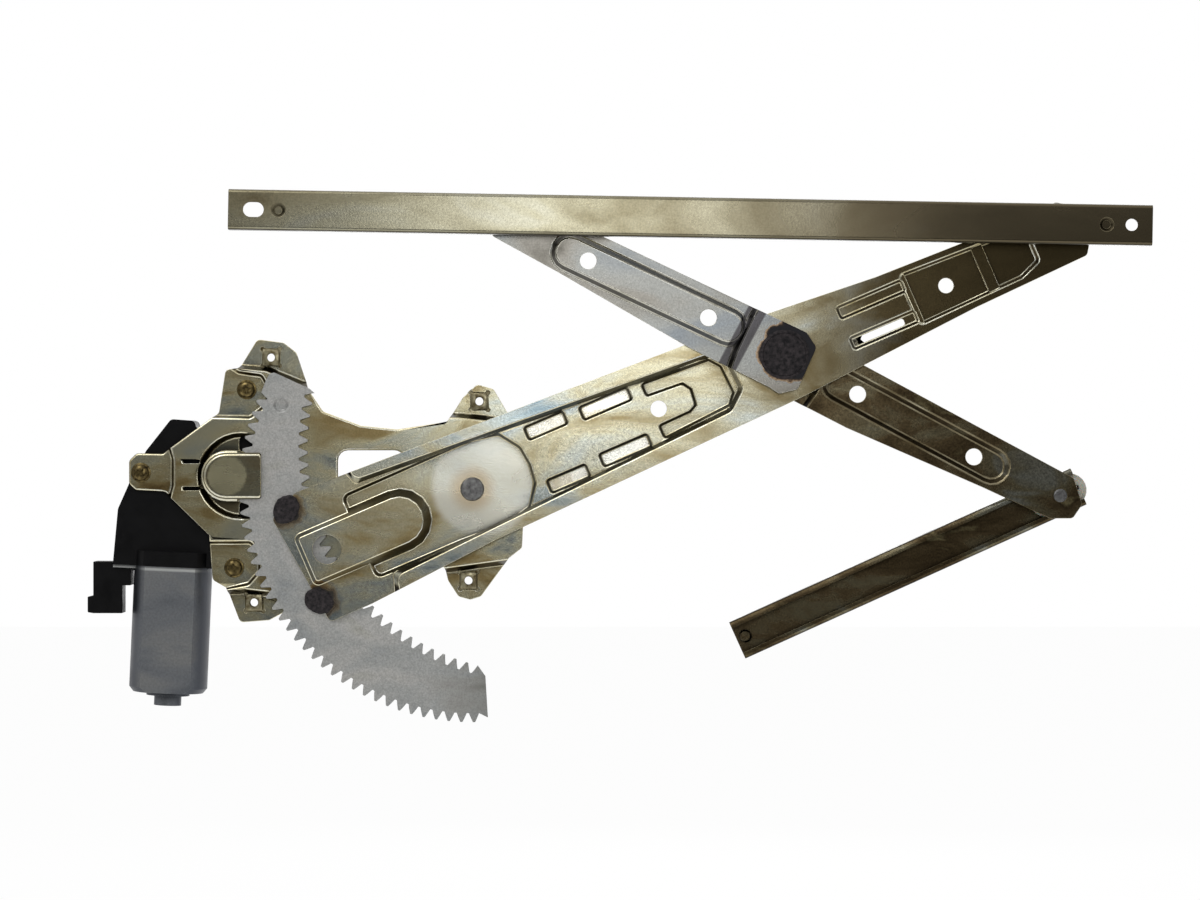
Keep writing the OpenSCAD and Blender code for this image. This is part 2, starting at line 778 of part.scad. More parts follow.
module pivot_washer() {
    color(STEEL) facing() difference() {
        peg(15, 0, low_back - 0.3);
        peg(6 + running_fit, -1, 3);
    }
}

module motor_screws() {
    color(BRASS) facing() for (p = screw_places) at(p) difference() {
        union() {
            peg(screw_r, gearbox_front - 10, pad_top + 0.5);
            translate([0, 0, pad_top]) cylinder(r1 = screw_head_r, r2 = screw_head_r - 1.2, h = 2.6);
        }
        for (a = [20, 110]) rotate([0, 0, a]) translate([0, 0, pad_top + 2.2])
            cube([6, 1.3, 2], center = true);
    }
}

// Gearbox and motor

module motor_frame() {
    foot = pinion_at + motor_gap * [-cos(motor_lean), sin(motor_lean)];
    facing() at(foot) translate([0, 0, motor_w]) rotate([0, 0, -motor_lean]) rotate([-90, 0, 0]) {
        rotate([180, 0, 0]) children();
    }
}

module gearbox_outline() {
    polygon(rounded([
        [-217, -50], [-157.5, -50], [-150, -34], [-130, -20], [-120, 8], [-128, 30],
        [-150, 40], [-166.2, 35], [-167.2, 41], [-181.5, 42], [-196.5, 23], [-206, 5], [-213.5, -12]
    ], 3));
}

module gearbox_housing() {
    wall = 2.6;
    floor = gearbox_front - 3;
    color(BLACK) difference() {
        union() {
            facing() slab(gearbox_back, gearbox_front - 0.6) gearbox_outline();
            facing() at(pinion_at) peg(31.5, gearbox_back, gearbox_front - 0.6);
            facing() for (p = screw_places) {
                at(p) peg(7.4, gearbox_front - 14, gearbox_front);
                at((p + pinion_at) / 2) rotate([0, 0, atan2(p.y - pinion_at.y, p.x - pinion_at.x)])
                    slab(gearbox_front - 12, gearbox_front - 1)
                        square([norm(p - pinion_at), 7], center = true);
            }
            facing() at(pinion_at) peg(9, gearbox_front - 2, gearbox_front + 1.4);
            motor_frame() {
                double_d(can_r + 1, can_flats + 1, flange_drop - 9, flange_drop + 5);
                for (p = can_screw_spots) translate([p.x, p.y, 0])
                    peg(4.6, flange_drop - 10, flange_drop + 5);
            }
        }
        facing() {
            at(pinion_at) peg(worm_wheel_r + 1.2, gearbox_back - 1, floor);
            at(pinion_at) peg(7, gearbox_front - 5, gearbox_front + 3);
            for (p = screw_places) at(p) peg(screw_r + 0.05, gearbox_front - 11, gearbox_front + 1);
        }
        motor_frame() {
            peg(worm_r + 1, -26, 80);
            peg(9, 40, 80);
            translate([-60, -60, flange_drop - 0.02]) cube([120, 120, 30]);
            for (p = can_screw_spots) translate([p.x, p.y, 0]) peg(1.65, flange_drop - 8.5, flange_drop + 1);
        }
    }
}

module gearbox_cover() {
    color(BLACK) facing() union() {
        at(pinion_at) {
            peg(29.4, gearbox_back - 2.4, gearbox_back);
            peg(5.2, gearbox_back - 3.6, gearbox_back - 2.4);
            for (a = [0:60:300]) rotate([0, 0, a]) translate([6, -0.8, gearbox_back - 3.2])
                cube([20, 1.6, 0.9]);
        }
    }
}

module output_bush() {
    color(BRASS) facing() at(pinion_at) difference() {
        peg(7, gearbox_front - 3, gearbox_front + 1.4);
        peg(5 + running_fit, gearbox_front - 5, gearbox_front + 3);
    }
}

module pinion() {
    turn = pinion_angle + 180 + 180 / pinion_teeth - mesh_offset * sector_teeth / pinion_teeth;
    color(STEEL) facing() at(pinion_at) {
        slab(sector_back - 0.6, seat + 0.8)
            polygon(tooth_row(pinion_teeth, shift, turn, 0, pinion_teeth - 1));
        peg(6.8, gearbox_front + 1.7, sector_back - 0.6);
        peg(5, gearbox_back + 0.4, gearbox_front + 1.7);
    }
}

module worm_wheel() {
    n = worm_wheel_teeth;
    mid = motor_w;
    points = [
        for (i = [0:n - 1]) for (s = [[-0.42, -1.6], [-0.2, 0], [0.2, 0], [0.42, -1.6]])
            polar(worm_wheel_r + s.y, 360 * (i + s.x) / n)
    ];
    color(NYLON) facing() at(pinion_at) difference() {
        slab(mid - wheel_thick / 2, mid + wheel_thick / 2) polygon(points);
        peg(5 + running_fit, mid - 10, mid + 10);
        difference() {
            peg(19, mid - 3, mid + 10);
            peg(8, mid - 10, mid + 10);
            for (a = [0:120:240]) rotate([0, 0, a]) slab(mid - 10, mid + 10) polygon(box2(0, 25, -1.5, 1.5));
        }
    }
}

module drive_damper() {
    mid = motor_w;
    color(BLACK) facing() at(pinion_at) difference() {
        peg(18.9, mid - 2.9, mid + 3.5);
        peg(8.1, mid - 10, mid + 10);
        for (a = [0:120:240]) rotate([0, 0, a]) slab(mid - 10, mid + 10) polygon(box2(0, 25, -1.7, 1.7));
    }
}

// In the motor's own frame z runs down from the worm to the end of the can

module double_d(r, flats, from, to) {
    intersection() {
        peg(r, from, to);
        translate([-50, -flats / 2, from]) cube([100, flats, to - from]);
    }
}

module motor_can() {
    end = flange_drop + can_length;
    color(SILVER) motor_frame() difference() {
        union() {
            double_d(can_r, can_flats, flange_drop, end - 3);
            translate([0, 0, end - 3]) intersection() {
                cylinder(r1 = can_r, r2 = can_r - 2.4, h = 3);
                translate([-50, -can_flats / 2, 0]) cube([100, can_flats, 3]);
            }
            peg(13, end - 1, end + 2);
            peg(8.2, end + 1, end + 8);
            translate([-35.4, -9, flange_drop]) cube([57.4, 18, 1.8]);
            for (p = can_screw_spots) hull() for (q = [p, p * 0.7])
                translate([q.x, q.y, 0]) peg(4.6, flange_drop, flange_drop + 1.8);
        }
        double_d(can_r - can_wall, can_flats - 2 * can_wall, flange_drop - 1, end - 4);
        peg(5.5, flange_drop, end + 6);
        for (p = can_screw_spots) translate([p.x, p.y, 0]) peg(1.7, flange_drop - 1, flange_drop + 4);
    }
}

module can_screws() {
    color(STEEL) motor_frame() for (p = can_screw_spots) translate([p.x, p.y, 0]) {
        peg(1.6, flange_drop - 8, flange_drop + 2);
        peg(3, flange_drop + 1.8, flange_drop + 3.8);
    }
}

module can_bearing() {
    color(BRASS) motor_frame() difference() {
        peg(5.5, flange_drop + can_length - 3, flange_drop + can_length + 5.5);
        peg(shaft_r + running_fit, flange_drop + can_length - 8, flange_drop + can_length + 8);
    }
}

module magnets() {
    outer = can_r - can_wall - 0.1;
    color(BLACK) motor_frame() difference() {
        double_d(outer, can_flats - 2 * can_wall - 0.2, flange_drop + 26, flange_drop + 64);
        peg(16.2, flange_drop + 20, flange_drop + 70);
        translate([-13, -40, flange_drop + 20]) cube([26, 80, 60]);
    }
}

module armature_shaft() {
    pitch = 3;
    turns = 8;
    color(STEEL) motor_frame() {
        peg(shaft_r, -24, flange_drop + can_length + 5);
        for (i = [0:turns - 1]) translate([0, 0, (i - turns / 2) * pitch])
            cylinder(r1 = shaft_r, r2 = worm_r, h = pitch / 2);
        for (i = [0:turns - 1]) translate([0, 0, (i - turns / 2 + 0.5) * pitch])
            cylinder(r1 = worm_r, r2 = shaft_r, h = pitch / 2);
    }
}

module armature_core() {
    slots = 10;
    from = flange_drop + 30;
    to = flange_drop + 60;
    color(COPPER) motor_frame() difference() {
        peg(15.5, from, to);
        peg(shaft_r + running_fit, from - 1, to + 1);
        for (i = [0:slots - 1]) rotate([0, 0, 360 * i / slots]) {
            translate([12, -0.9, from - 1]) cube([10, 1.8, to - from + 2]);
            translate([10.6, 0, 0]) peg(2.1, from - 1, to + 1);
        }
    }
}

module commutator() {
    from = flange_drop + 8;
    color(COPPER) motor_frame() difference() {
        peg(8, from, from + 14);
        peg(shaft_r + running_fit, from - 1, from + 20);
        for (i = [0:9]) rotate([0, 0, 36 * i + 18]) translate([7, -0.3, from + 2]) cube([2, 0.6, 13]);
    }
}

module brush_holder() {
    from = flange_drop + 8;
    color(BLACK) motor_frame() difference() {
        double_d(can_r - can_wall - 0.1, can_flats - 2 * can_wall - 0.2, from, from + 10);
        peg(10, from - 1, from + 12);
        for (s = [-1, 1]) translate([s > 0 ? 8 : -20, -2.6, from + 3]) cube([12, 5.2, 8]);
    }
}

module brushes() {
    from = flange_drop + 11.05;
    color(BLACK) motor_frame() for (s = [-1, 1])
        translate([s > 0 ? 8.2 : -19.4, -2.55, from]) cube([11.2, 5.1, 6.8]);
}

connector_box = [[-229, -211.4], [-75, -43.8], [motor_w - 8, motor_w + 8]];

module connector() {
    b = connector_box;
    color(BLACK) facing() difference() {
        union() {
            slab(b[2][0], b[2][1]) polygon([
                [b[0][0], b[1][1]], [b[0][0], -64.5], [-232.4, -65], [-232.4, -74.4],
                [b[0][0], b[1][0]], [b[0][1], b[1][0]], [b[0][1], -58.2],
                [-206.4, -58.2], [-206.4, -47.6], [-217.2, -47.2], [-217.2, b[1][1]]
            ]);
        }
        slab(b[2][0] + 2, b[2][1] - 2) polygon(box2(b[0][0] + 2, b[0][1] - 2, b[1][0] - 5, -56));
    }
}

module connector_blades() {
    color(BRASS) facing() for (s = [-3, 3])
        slab(motor_w + s - 0.4, motor_w + s + 0.4) polygon(box2(-222.5, -217.5, -70, -56));
}

base_plate();
weld_nuts();
pivot_rivet();
pivot_washer();
motor_screws();
gearbox_housing();
gearbox_cover();
output_bush();
connector();
connector_blades();
motor_can();
can_bearing();
magnets();
brush_holder();
brushes();
can_screws();
armature_shaft();
armature_core();
commutator();
worm_wheel();
drive_damper();
pinion();
main_arm();
sector_gear();
sector_welds();
rail_pin_right();
equalizer_upper();
equalizer_lower();
cross_hub();
hub_cap();
hub_weld();
rail_pin_left();
lower_pin();
rail_slider_right();
rail_slider_left();
lower_slider();
glass_rail();
lower_rail();
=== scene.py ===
"""Dresses the window regulator: plated pressings, welds, fasteners, plastics and a pale studio.

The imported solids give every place. The pressings are copied, merged and given the small radii that a
press tool leaves, and the screws, nuts and plug welds are modelled anew on the same axes. All lengths in
the classes are in millimetres: x to the right, z up, and w towards the viewer, which is minus y.
"""

import logging
import math
from collections.abc import Iterator
from contextlib import contextmanager
from dataclasses import dataclass, field
from enum import Enum
from functools import cache

import bpy
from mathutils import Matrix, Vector


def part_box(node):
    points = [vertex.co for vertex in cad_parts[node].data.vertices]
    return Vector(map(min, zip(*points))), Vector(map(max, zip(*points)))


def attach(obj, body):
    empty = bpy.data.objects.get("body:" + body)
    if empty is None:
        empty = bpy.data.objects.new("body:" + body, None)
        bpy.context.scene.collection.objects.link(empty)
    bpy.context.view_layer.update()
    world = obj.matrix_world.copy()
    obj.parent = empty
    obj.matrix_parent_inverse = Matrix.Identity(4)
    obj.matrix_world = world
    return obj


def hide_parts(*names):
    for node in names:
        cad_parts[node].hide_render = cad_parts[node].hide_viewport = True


MM = 0.001

# Values that many materials share: the usual span of noise, the height of fine marks in millimetres,
# and the stretch that rolling gives the patches of a film
NOISE_SPAN = (0.3, 0.7)
FINE = 0.1
ROLLED = (0.45, 1.0, 1.0)

# How far noise shifts the edges of shades, painted light discs and scorches, in metres
SHADE_WANDER = 0.12
PAINTED_DISC_WANDER = 0.003
SCORCH_WANDER = 0.008

# Corners nearer than the first are one corner, and a pressing loses steps below the second
SAME_CORNER = 2e-6
TINY_STEP = 0.4

# Slopes along y: above the first a face is a flat, below the second a punched edge
FLAT = 0.93
PUNCHED = 0.2

# Radii: faces across one, and the angle in degrees above which an edge of a solid or a sheet gets one
ROUND_STEPS = 3
SOLID_EDGE = 34
SHEET_EDGE = 30

# Angles in degrees up to which the shading is smooth
SOLID_SMOOTH = 38
SHEET_SMOOTH = 50
FASTENER_SMOOTH = 34
WELD_SMOOTH = 60

# Slots of a pressing: its film, its worn radii with a painted highlight, and its floors with a painted
# highlight
FILM_SLOT = 0
EDGE_SLOT = 1
PAD_HIGHLIGHT_SLOT = 2

# A floor with a painted highlight: how far from its pan's centre it lies at most, and its area in square
# millimetres
PAD_REACH = 5
PAD_AREA = (60, 400)

Piece = bpy.types.Object
Socket = bpy.types.NodeSocket
Tree = bpy.types.NodeTree
Point = tuple[float, float]
Box = tuple[float, float, float, float]
Cut = tuple[float, float, float, float]

log = logging.getLogger("window_regulator")
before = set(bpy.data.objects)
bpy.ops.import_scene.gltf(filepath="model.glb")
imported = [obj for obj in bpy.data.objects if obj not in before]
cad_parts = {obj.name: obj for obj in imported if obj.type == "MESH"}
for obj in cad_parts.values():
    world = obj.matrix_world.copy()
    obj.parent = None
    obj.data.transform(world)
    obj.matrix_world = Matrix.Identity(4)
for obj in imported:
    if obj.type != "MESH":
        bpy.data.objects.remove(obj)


def srgb(code: str) -> tuple[float, float, float, float]:
    """Turns an sRGB hex colour into linear values.

    Args:
        code: six hex digits after a hash.

    Returns:
        Red, green, blue and an alpha of one.
    """
    parts = [int(code[i:i + 2], 16) / 255 for i in (1, 3, 5)]
    linear = [p / 12.92 if p <= 0.04045 else ((p + 0.055) / 1.055) ** 2.4 for p in parts]
    return (linear[0], linear[1], linear[2], 1.0)


def add(tree: Tree, kind: str, inputs: dict | None = None, **settings: object) -> bpy.types.Node:
    """Adds one node with its settings and its links.

    Args:
        tree: the tree that gets the node.
        kind: the shader node's type.
        inputs: values, or sockets to link, by input name or number.
        settings: properties to set; "stops" fills a colour ramp with (place, hex, alpha).

    Returns:
        The new node.
    """
    made = tree.nodes.new("ShaderNode" + kind)
    for name, value in settings.items():
        if name != "stops":
            setattr(made, name, value)
            continue
        ramp = made.color_ramp.elements
        while len(ramp) < len(value):
            ramp.new(1.0)
        for element, (place, code, alpha) in zip(ramp, value):
            element.position = place
            element.color = (*srgb(code)[:3], alpha)
    for key, value in (inputs or {}).items():
        if isinstance(value, Socket):
            tree.links.new(value, made.inputs[key])
        else:
            made.inputs[key].default_value = value
    return made


def remap(tree: Tree, value: Socket, source: Point, target: tuple[float | Socket, float] = (0.0, 1.0),
          soft: bool = False) -> Socket:
    """Maps one span of values onto another, and clamps it.

    Args:
        tree: the tree that gets the node.
        value: what is mapped.
        source: the values that give the target's two ends.
        target: the two ends of the result.
        soft: ease in and out.

    Returns:
        The mapped value.
    """
    return add(tree, "MapRange", {
        "Value": value, "From Min": source[0], "From Max": source[1], "To Min": target[0],
        "To Max": target[1]}, interpolation_type="SMOOTHSTEP" if soft else "LINEAR").outputs[0]


def noise(tree: Tree, place: Socket, scale: float, detail: float, rough: float = 0.5,
          bend: float = 0.0) -> Socket:
    """Adds a noise texture with its scale, octaves, their weight and its distortion."""
    return add(tree, "TexNoise", {
        "Vector": place, "Scale": scale, "Detail": detail, "Roughness": rough,
        "Distortion": bend}).outputs["Fac"]


def blend(tree: Tree, amount: Socket, colour: Socket | tuple, code: str) -> Socket:
    """Lays a hex colour over another colour by an amount."""
    return add(tree, "Mix", {0: amount, 6: colour, 7: srgb(code)}, data_type="RGBA").outputs[2]


def calc(tree: Tree, operation: str, *values: float | Socket) -> Socket:
    """Does one step of arithmetic on its values."""
    return add(tree, "Math", dict(enumerate(values)), operation=operation).outputs[0]


def off_axis(tree: Tree, place: Socket, x: float, z: float) -> Socket:
    """Measures how far a place lies from the axis along y through x and z."""
    level = add(tree, "VectorMath", {0: place, 1: (1, 0, 1)}, operation="MULTIPLY")
    return add(tree, "VectorMath", {0: level.outputs[0], 1: (x * MM, 0, z * MM)},
               operation="DISTANCE").outputs["Value"]


def emboss(tree: Tree, height: Socket, strength: float, distance: float,
           under: Socket | None = None) -> Socket:
    """Raises the surface by a texture, by a distance in millimetres, on top of what lies under it."""
    inputs = {"Height": height, "Strength": strength, "Distance": distance * MM}
    if under is not None:
        inputs["Normal"] = under
    return add(tree, "Bump", inputs).outputs[0]


def seen_rays(tree: Tree) -> tuple[Socket, Socket]:
    """Says which rays come from the camera, and which from a reflection or through glass."""
    path = add(tree, "LightPath")
    turned = calc(tree, "MAXIMUM", path.outputs["Is Glossy Ray"], path.outputs["Is Transmission Ray"])
    return path.outputs["Is Camera Ray"], turned


def new_material(name: str) -> tuple[bpy.types.Material, Tree]:
    """Starts a node material with nothing in it but its output."""
    material = bpy.data.materials.new(name)
    material.use_nodes = True
    tree = material.node_tree
    tree.nodes.clear()
    add(tree, "OutputMaterial")
    return material, tree


def finish_material(tree: Tree, shader: bpy.types.Node) -> None:
    """Links the last shader to the material's output."""
    output = next(n for n in tree.nodes if n.bl_idname == "ShaderNodeOutputMaterial")
    tree.links.new(shader.outputs[0], output.inputs["Surface"])


@dataclass(frozen=True)
class Scorch:
    """A place on a pressing that the heat of welding has coloured.

    Attributes:
        x: its centre's x.
        z: its centre's z.
        core: radius that is burnt black.
        reach: radius where the straw and blue tints end.
    """

    x: float
    z: float
    core: float
    reach: float


@dataclass(frozen=True)
class PaintedLightDisc:
    """A round place of another tint that paints light: shade and highlight on the pinion's dome, and a
    highlight with a tan ring round the arm's pivot.

    Attributes:
        x: its centre's x.
        z: its centre's z.
        inner: where the tint starts to fade.
        outer: where it ends.
        tint: its colour.
        amount: how much of the film it covers.
    """

    x: float
    z: float
    inner: float
    outer: float
    tint: str
    amount: float


@dataclass(frozen=True)
class Band:
    """A straight band of another tint across a piece.

    Attributes:
        x: x of the point that it is measured from.
        z: z of that point.
        angle: direction to the band in degrees.
        near: distance to its near edge.
        far: distance to its far edge.
        tint: its colour.
    """

    x: float
    z: float
    angle: float
    near: float
    far: float
    tint: str


@dataclass(frozen=True)
class PlatedSteel:
    """Pressed sheet steel, zinc plated and passivated.

    The thin film drifts between silver, straw and blue in patches, the steep walls get a painted shade,
    and the corners a painted shade from ambient occlusion.

    Attributes:
        name: the material's name.
        tints: colours of the film from its coolest to its deepest patch.
        wall: colour of the painted shade on the steep pressed walls.
        corner_shade: colour of the painted shade in the corners.
        patch: size of a patch in millimetres.
        grain: size of the crystals in millimetres.
        grain_depth: how strongly the crystals show.
        rough: lowest and highest roughness.
        turn: angle of the rolling direction in degrees.
        shade: colour that the piece darkens to along x.
        shade_span: x where the darkening starts and ends.
        scorches: the places that the welds have burnt.
        painted_light_discs: round places of another tint, which paint shade and highlight.
        bands: straight bands of another tint.
        metallic: how much of a metal the surface is.
        wave: size in millimetres of the slow waves that pressing leaves in the sheet.
        wave_height: their height in millimetres.
    """

    name: str
    tints: tuple[str, ...]
    wall: str
    corner_shade: str
    patch: float = 38.0
    grain: float = 1.1
    grain_depth: float = 0.16
    rough: Point = (0.17, 0.34)
    turn: float = 0.0
    shade: str = "#4a4230"
    shade_span: Point = (900.0, 1000.0)
    scorches: tuple[Scorch, ...] = ()
    painted_light_discs: tuple[PaintedLightDisc, ...] = ()
    bands: tuple[Band, ...] = ()
    metallic: float = 1.0
    wave: float = 34.0
    wave_height: float = 0.5

    def material(self) -> bpy.types.Material:
        """Builds the node material."""
        made, tree = new_material(self.name)
        source = add(tree, "TexCoord")
        place = source.outputs["Object"]
        turned = add(tree, "Mapping", {
            "Vector": place, "Rotation": (0, math.radians(self.turn), 0), "Scale": ROLLED}).outputs[0]
        patches = noise(tree, turned, 1000 / self.patch, 4.0, 0.55, 0.7)
        last = len(self.tints) - 1
        stops = [(0.3 + 0.42 * i / last, code, 1.0) for i, code in enumerate(self.tints)]
        film = add(tree, "ValToRGB", {"Fac": patches}, stops=stops)
        crystals = noise(tree, place, 1000 / self.grain, 2.0, 0.6)
        speckle = remap(tree, crystals, NOISE_SPAN, (1 - self.grain_depth, 1 + self.grain_depth))
        grained = add(tree, "Mix", {0: 1.0, 6: film.outputs["Color"], 7: speckle},
                      data_type="RGBA", blend_type="MULTIPLY")
        colour = self.shaded(tree, place, patches, grained.outputs[2])
        colour = self.lay_painted_light_discs(tree, place, crystals, colour)
        colour = self.banded(tree, place, colour)
        colour = self.paint_wall_shade(tree, source.outputs["Normal"], colour)
        colour, burnt = self.scorched(tree, place, colour)
        roughness = remap(tree, patches, NOISE_SPAN, self.rough)
        waves = emboss(tree, noise(tree, turned, 1000 / self.wave, 1.0, 0.4), 1.0, self.wave_height)
        shader = add(tree, "BsdfPrincipled", {
            "Base Color": colour, "Metallic": self.metallic, "Roughness": roughness,
            "Normal": emboss(tree, crystals, 0.25, FINE, waves)})
        if burnt is not None:
            less = remap(tree, burnt, (0.0, 1.0), (1.0, 0.25))
            rougher = add(tree, "Mix", {0: burnt, 2: roughness, 3: 0.7})
            tree.links.new(less, shader.inputs["Metallic"])
            tree.links.new(rougher.outputs[0], shader.inputs["Roughness"])
        finish_material(tree, shader)
        return made

    def shaded(self, tree: Tree, place: Socket, patches: Socket, colour: Socket) -> Socket:
        """Darkens the film along x, with an uneven front."""
        axes = add(tree, "SeparateXYZ", {0: place})
        wander = calc(tree, "MULTIPLY_ADD", patches, SHADE_WANDER, axes.outputs["X"])
        start, end = (x * MM + SHADE_WANDER / 2 for x in self.shade_span)
        return blend(tree, remap(tree, wander, (start, end)), colour, self.shade)

    def lay_painted_light_discs(self, tree: Tree, place: Socket, crystals: Socket, colour: Socket) -> Socket:
        """Lays the round discs of painted shade and painted highlight over the film."""
        for spot in self.painted_light_discs:
            away = off_axis(tree, place, spot.x, spot.z)
            uneven = calc(tree, "MULTIPLY_ADD", crystals, PAINTED_DISC_WANDER, away)
            inner, outer = (r * MM + PAINTED_DISC_WANDER / 2 for r in (spot.inner, spot.outer))
            amount = remap(tree, uneven, (inner, outer), (spot.amount, 0.0), True)
            colour = blend(tree, amount, colour, spot.tint)
        return colour

    def banded(self, tree: Tree, place: Socket, colour: Socket) -> Socket:
        """Lays the straight bands over the film, each with soft edges."""
        for band in self.bands:
            middle, half = (band.near + band.far) / 2, (band.far - band.near) / 2
            across = (math.cos(math.radians(band.angle)), 0, math.sin(math.radians(band.angle)))
            centre = ((band.x + middle * across[0]) * MM, 0, (band.z + middle * across[2]) * MM)
            moved = add(tree, "VectorMath", {0: place, 1: centre}, operation="SUBTRACT")
            along = add(tree, "VectorMath", {0: moved.outputs[0], 1: across}, operation="DOT_PRODUCT")
            side = calc(tree, "ABSOLUTE", along.outputs["Value"])
            amount = remap(tree, side, ((half - 0.5) * MM, (half + 0.3) * MM), (0.92, 0.0))
            colour = blend(tree, amount, colour, band.tint)
        return colour

    def paint_wall_shade(self, tree: Tree, normal: Socket, colour: Socket) -> Socket:
        """Paints shade on the steep walls by their slope, and shade from ambient occlusion in the corners."""
        facing = add(tree, "SeparateXYZ", {0: normal})
        flat = calc(tree, "ABSOLUTE", facing.outputs["Y"])
        # Painted shade: faces darken as they turn away from the viewer, and corners where ambient occlusion
        # finds them
        walls = blend(tree, remap(tree, flat, (0.5, 0.96), (0.92, 0.0), True), colour, self.wall)
        corner = add(tree, "AmbientOcclusion", {"Distance": 0.006}, samples=6, only_local=True)
        corner_shade_amount = remap(tree, corner.outputs["AO"], (0.5, 0.92), (0.95, 0.0))
        return blend(tree, corner_shade_amount, walls, self.corner_shade)

    def scorched(self, tree: Tree, place: Socket, colour: Socket) -> tuple[Socket, Socket | None]:
        """Burns the places round the welds.

        Args:
            tree: the material's tree.
            place: the place in the object's frame.
            colour: the colour so far.

        Returns:
            The colour, and how burnt the surface is, or None where nothing is.
        """
        burnt = None
        ripple = noise(tree, place, 160.0, 3.0)
        for mark in self.scorches:
            away = off_axis(tree, place, mark.x, mark.z)
            uneven = calc(tree, "MULTIPLY_ADD", ripple, SCORCH_WANDER, away)
            core, reach = mark.core * MM + SCORCH_WANDER / 4, mark.reach * MM + SCORCH_WANDER / 2
            ring = remap(tree, uneven, (core, reach))
            heat = add(tree, "ValToRGB", {"Fac": ring}, stops=[
                (0.0, "#15141a", 1.0), (0.22, "#221b16", 0.95), (0.42, "#5a3d1e", 0.75),
                (0.62, "#8a6a3a", 0.45), (0.78, "#5d6f86", 0.3), (1.0, "#b0a888", 0.0)])
            colour = add(tree, "Mix", {0: heat.outputs["Alpha"], 6: colour, 7: heat.outputs["Color"]},
                         data_type="RGBA").outputs[2]
            black = remap(tree, ring, (0.0, 0.4), (1.0, 0.0))
            burnt = black if burnt is None else calc(tree, "MAXIMUM", burnt, black)
        return colour, burnt


@dataclass(frozen=True)
class BareMetal:
    """Turned, headed, sintered or drawn metal with fine marks and small stains.

    Attributes:
        name: the material's name.
        light: colour of the clean metal.
        dark: colour of its stains.
        stain: size of a stain in millimetres.
        mark: size of the fine marks in millimetres.
        rough: lowest and highest roughness.
        metallic: how much of a metal it is.
    """

    name: str
    light: str
    dark: str
    stain: float = 4.0
    mark: float = 0.5
    rough: Point = (0.3, 0.5)
    metallic: float = 1.0

    def material(self) -> bpy.types.Material:
        """Builds the node material, rougher in the stains."""
        made, tree = new_material(self.name)
        place = add(tree, "TexCoord").outputs["Object"]
        stains = noise(tree, place, 1000 / self.stain, 5.0, 0.6)
        colour = add(tree, "ValToRGB", {"Fac": stains},
                     stops=[(0.34, self.dark, 1.0), (0.66, self.light, 1.0)])
        marks = noise(tree, place, 1000 / self.mark, 2.0)
        finish_material(tree, add(tree, "BsdfPrincipled", {
            "Base Color": colour.outputs["Color"], "Metallic": self.metallic,
            "Roughness": remap(tree, stains, NOISE_SPAN, (self.rough[1], self.rough[0])),
            "Normal": emboss(tree, marks, 0.3, FINE)}))
        return made


@dataclass(frozen=True)
class MouldedPlastic:
    """Injection moulded plastic with a spark-eroded skin and a little dust.

    Attributes:
        name: the material's name.
        body: its colour.
        dust: colour of the scuffed, dusty patches.
        dusty: how much the dust shows.
        skin: size of the eroded texture in millimetres.
        rough: lowest and highest roughness.
        glow: how far light goes into it, in millimetres.
        shine: how strongly its skin reflects, where a half is plain plastic.
    """

    name: str
    body: str
    dust: str
    dusty: float = 0.3
    skin: float = 0.6
    rough: Point = (0.38, 0.6)
    glow: float = 0.0
    shine: float = 0.5

    def material(self) -> bpy.types.Material:
        """Builds the node material."""
        made, tree = new_material(self.name)
        place = add(tree, "TexCoord").outputs["Object"]
        scuffs = noise(tree, place, 90.0, 6.0, 0.65)
        dusted = remap(tree, scuffs, (0.45, 0.75), (0.0, self.dusty))
        skin = noise(tree, place, 1000 / self.skin, 2.0)
        inputs = {"Base Color": blend(tree, dusted, srgb(self.body), self.dust),
                  "Roughness": remap(tree, scuffs, (0.35, 0.65), self.rough),
                  "Normal": emboss(tree, skin, 0.2, FINE), "IOR": 1.5, "Specular IOR Level": self.shine}
        if self.glow:
            inputs["Subsurface Weight"] = 0.4
            inputs["Subsurface Scale"] = self.glow * MM
        finish_material(tree, add(tree, "BsdfPrincipled", inputs))
        return made


# What the arc has done round the hub: a burnt disc, and a dark band across the upper equalizer arm
HUB_SCORCHES = (Scorch(189.5, 82.0, 18.5, 20.5),)
HUB_BANDS = (Band(186.4, 80.3, 151.9, 21.0, 32.5, "#3a383a"),)


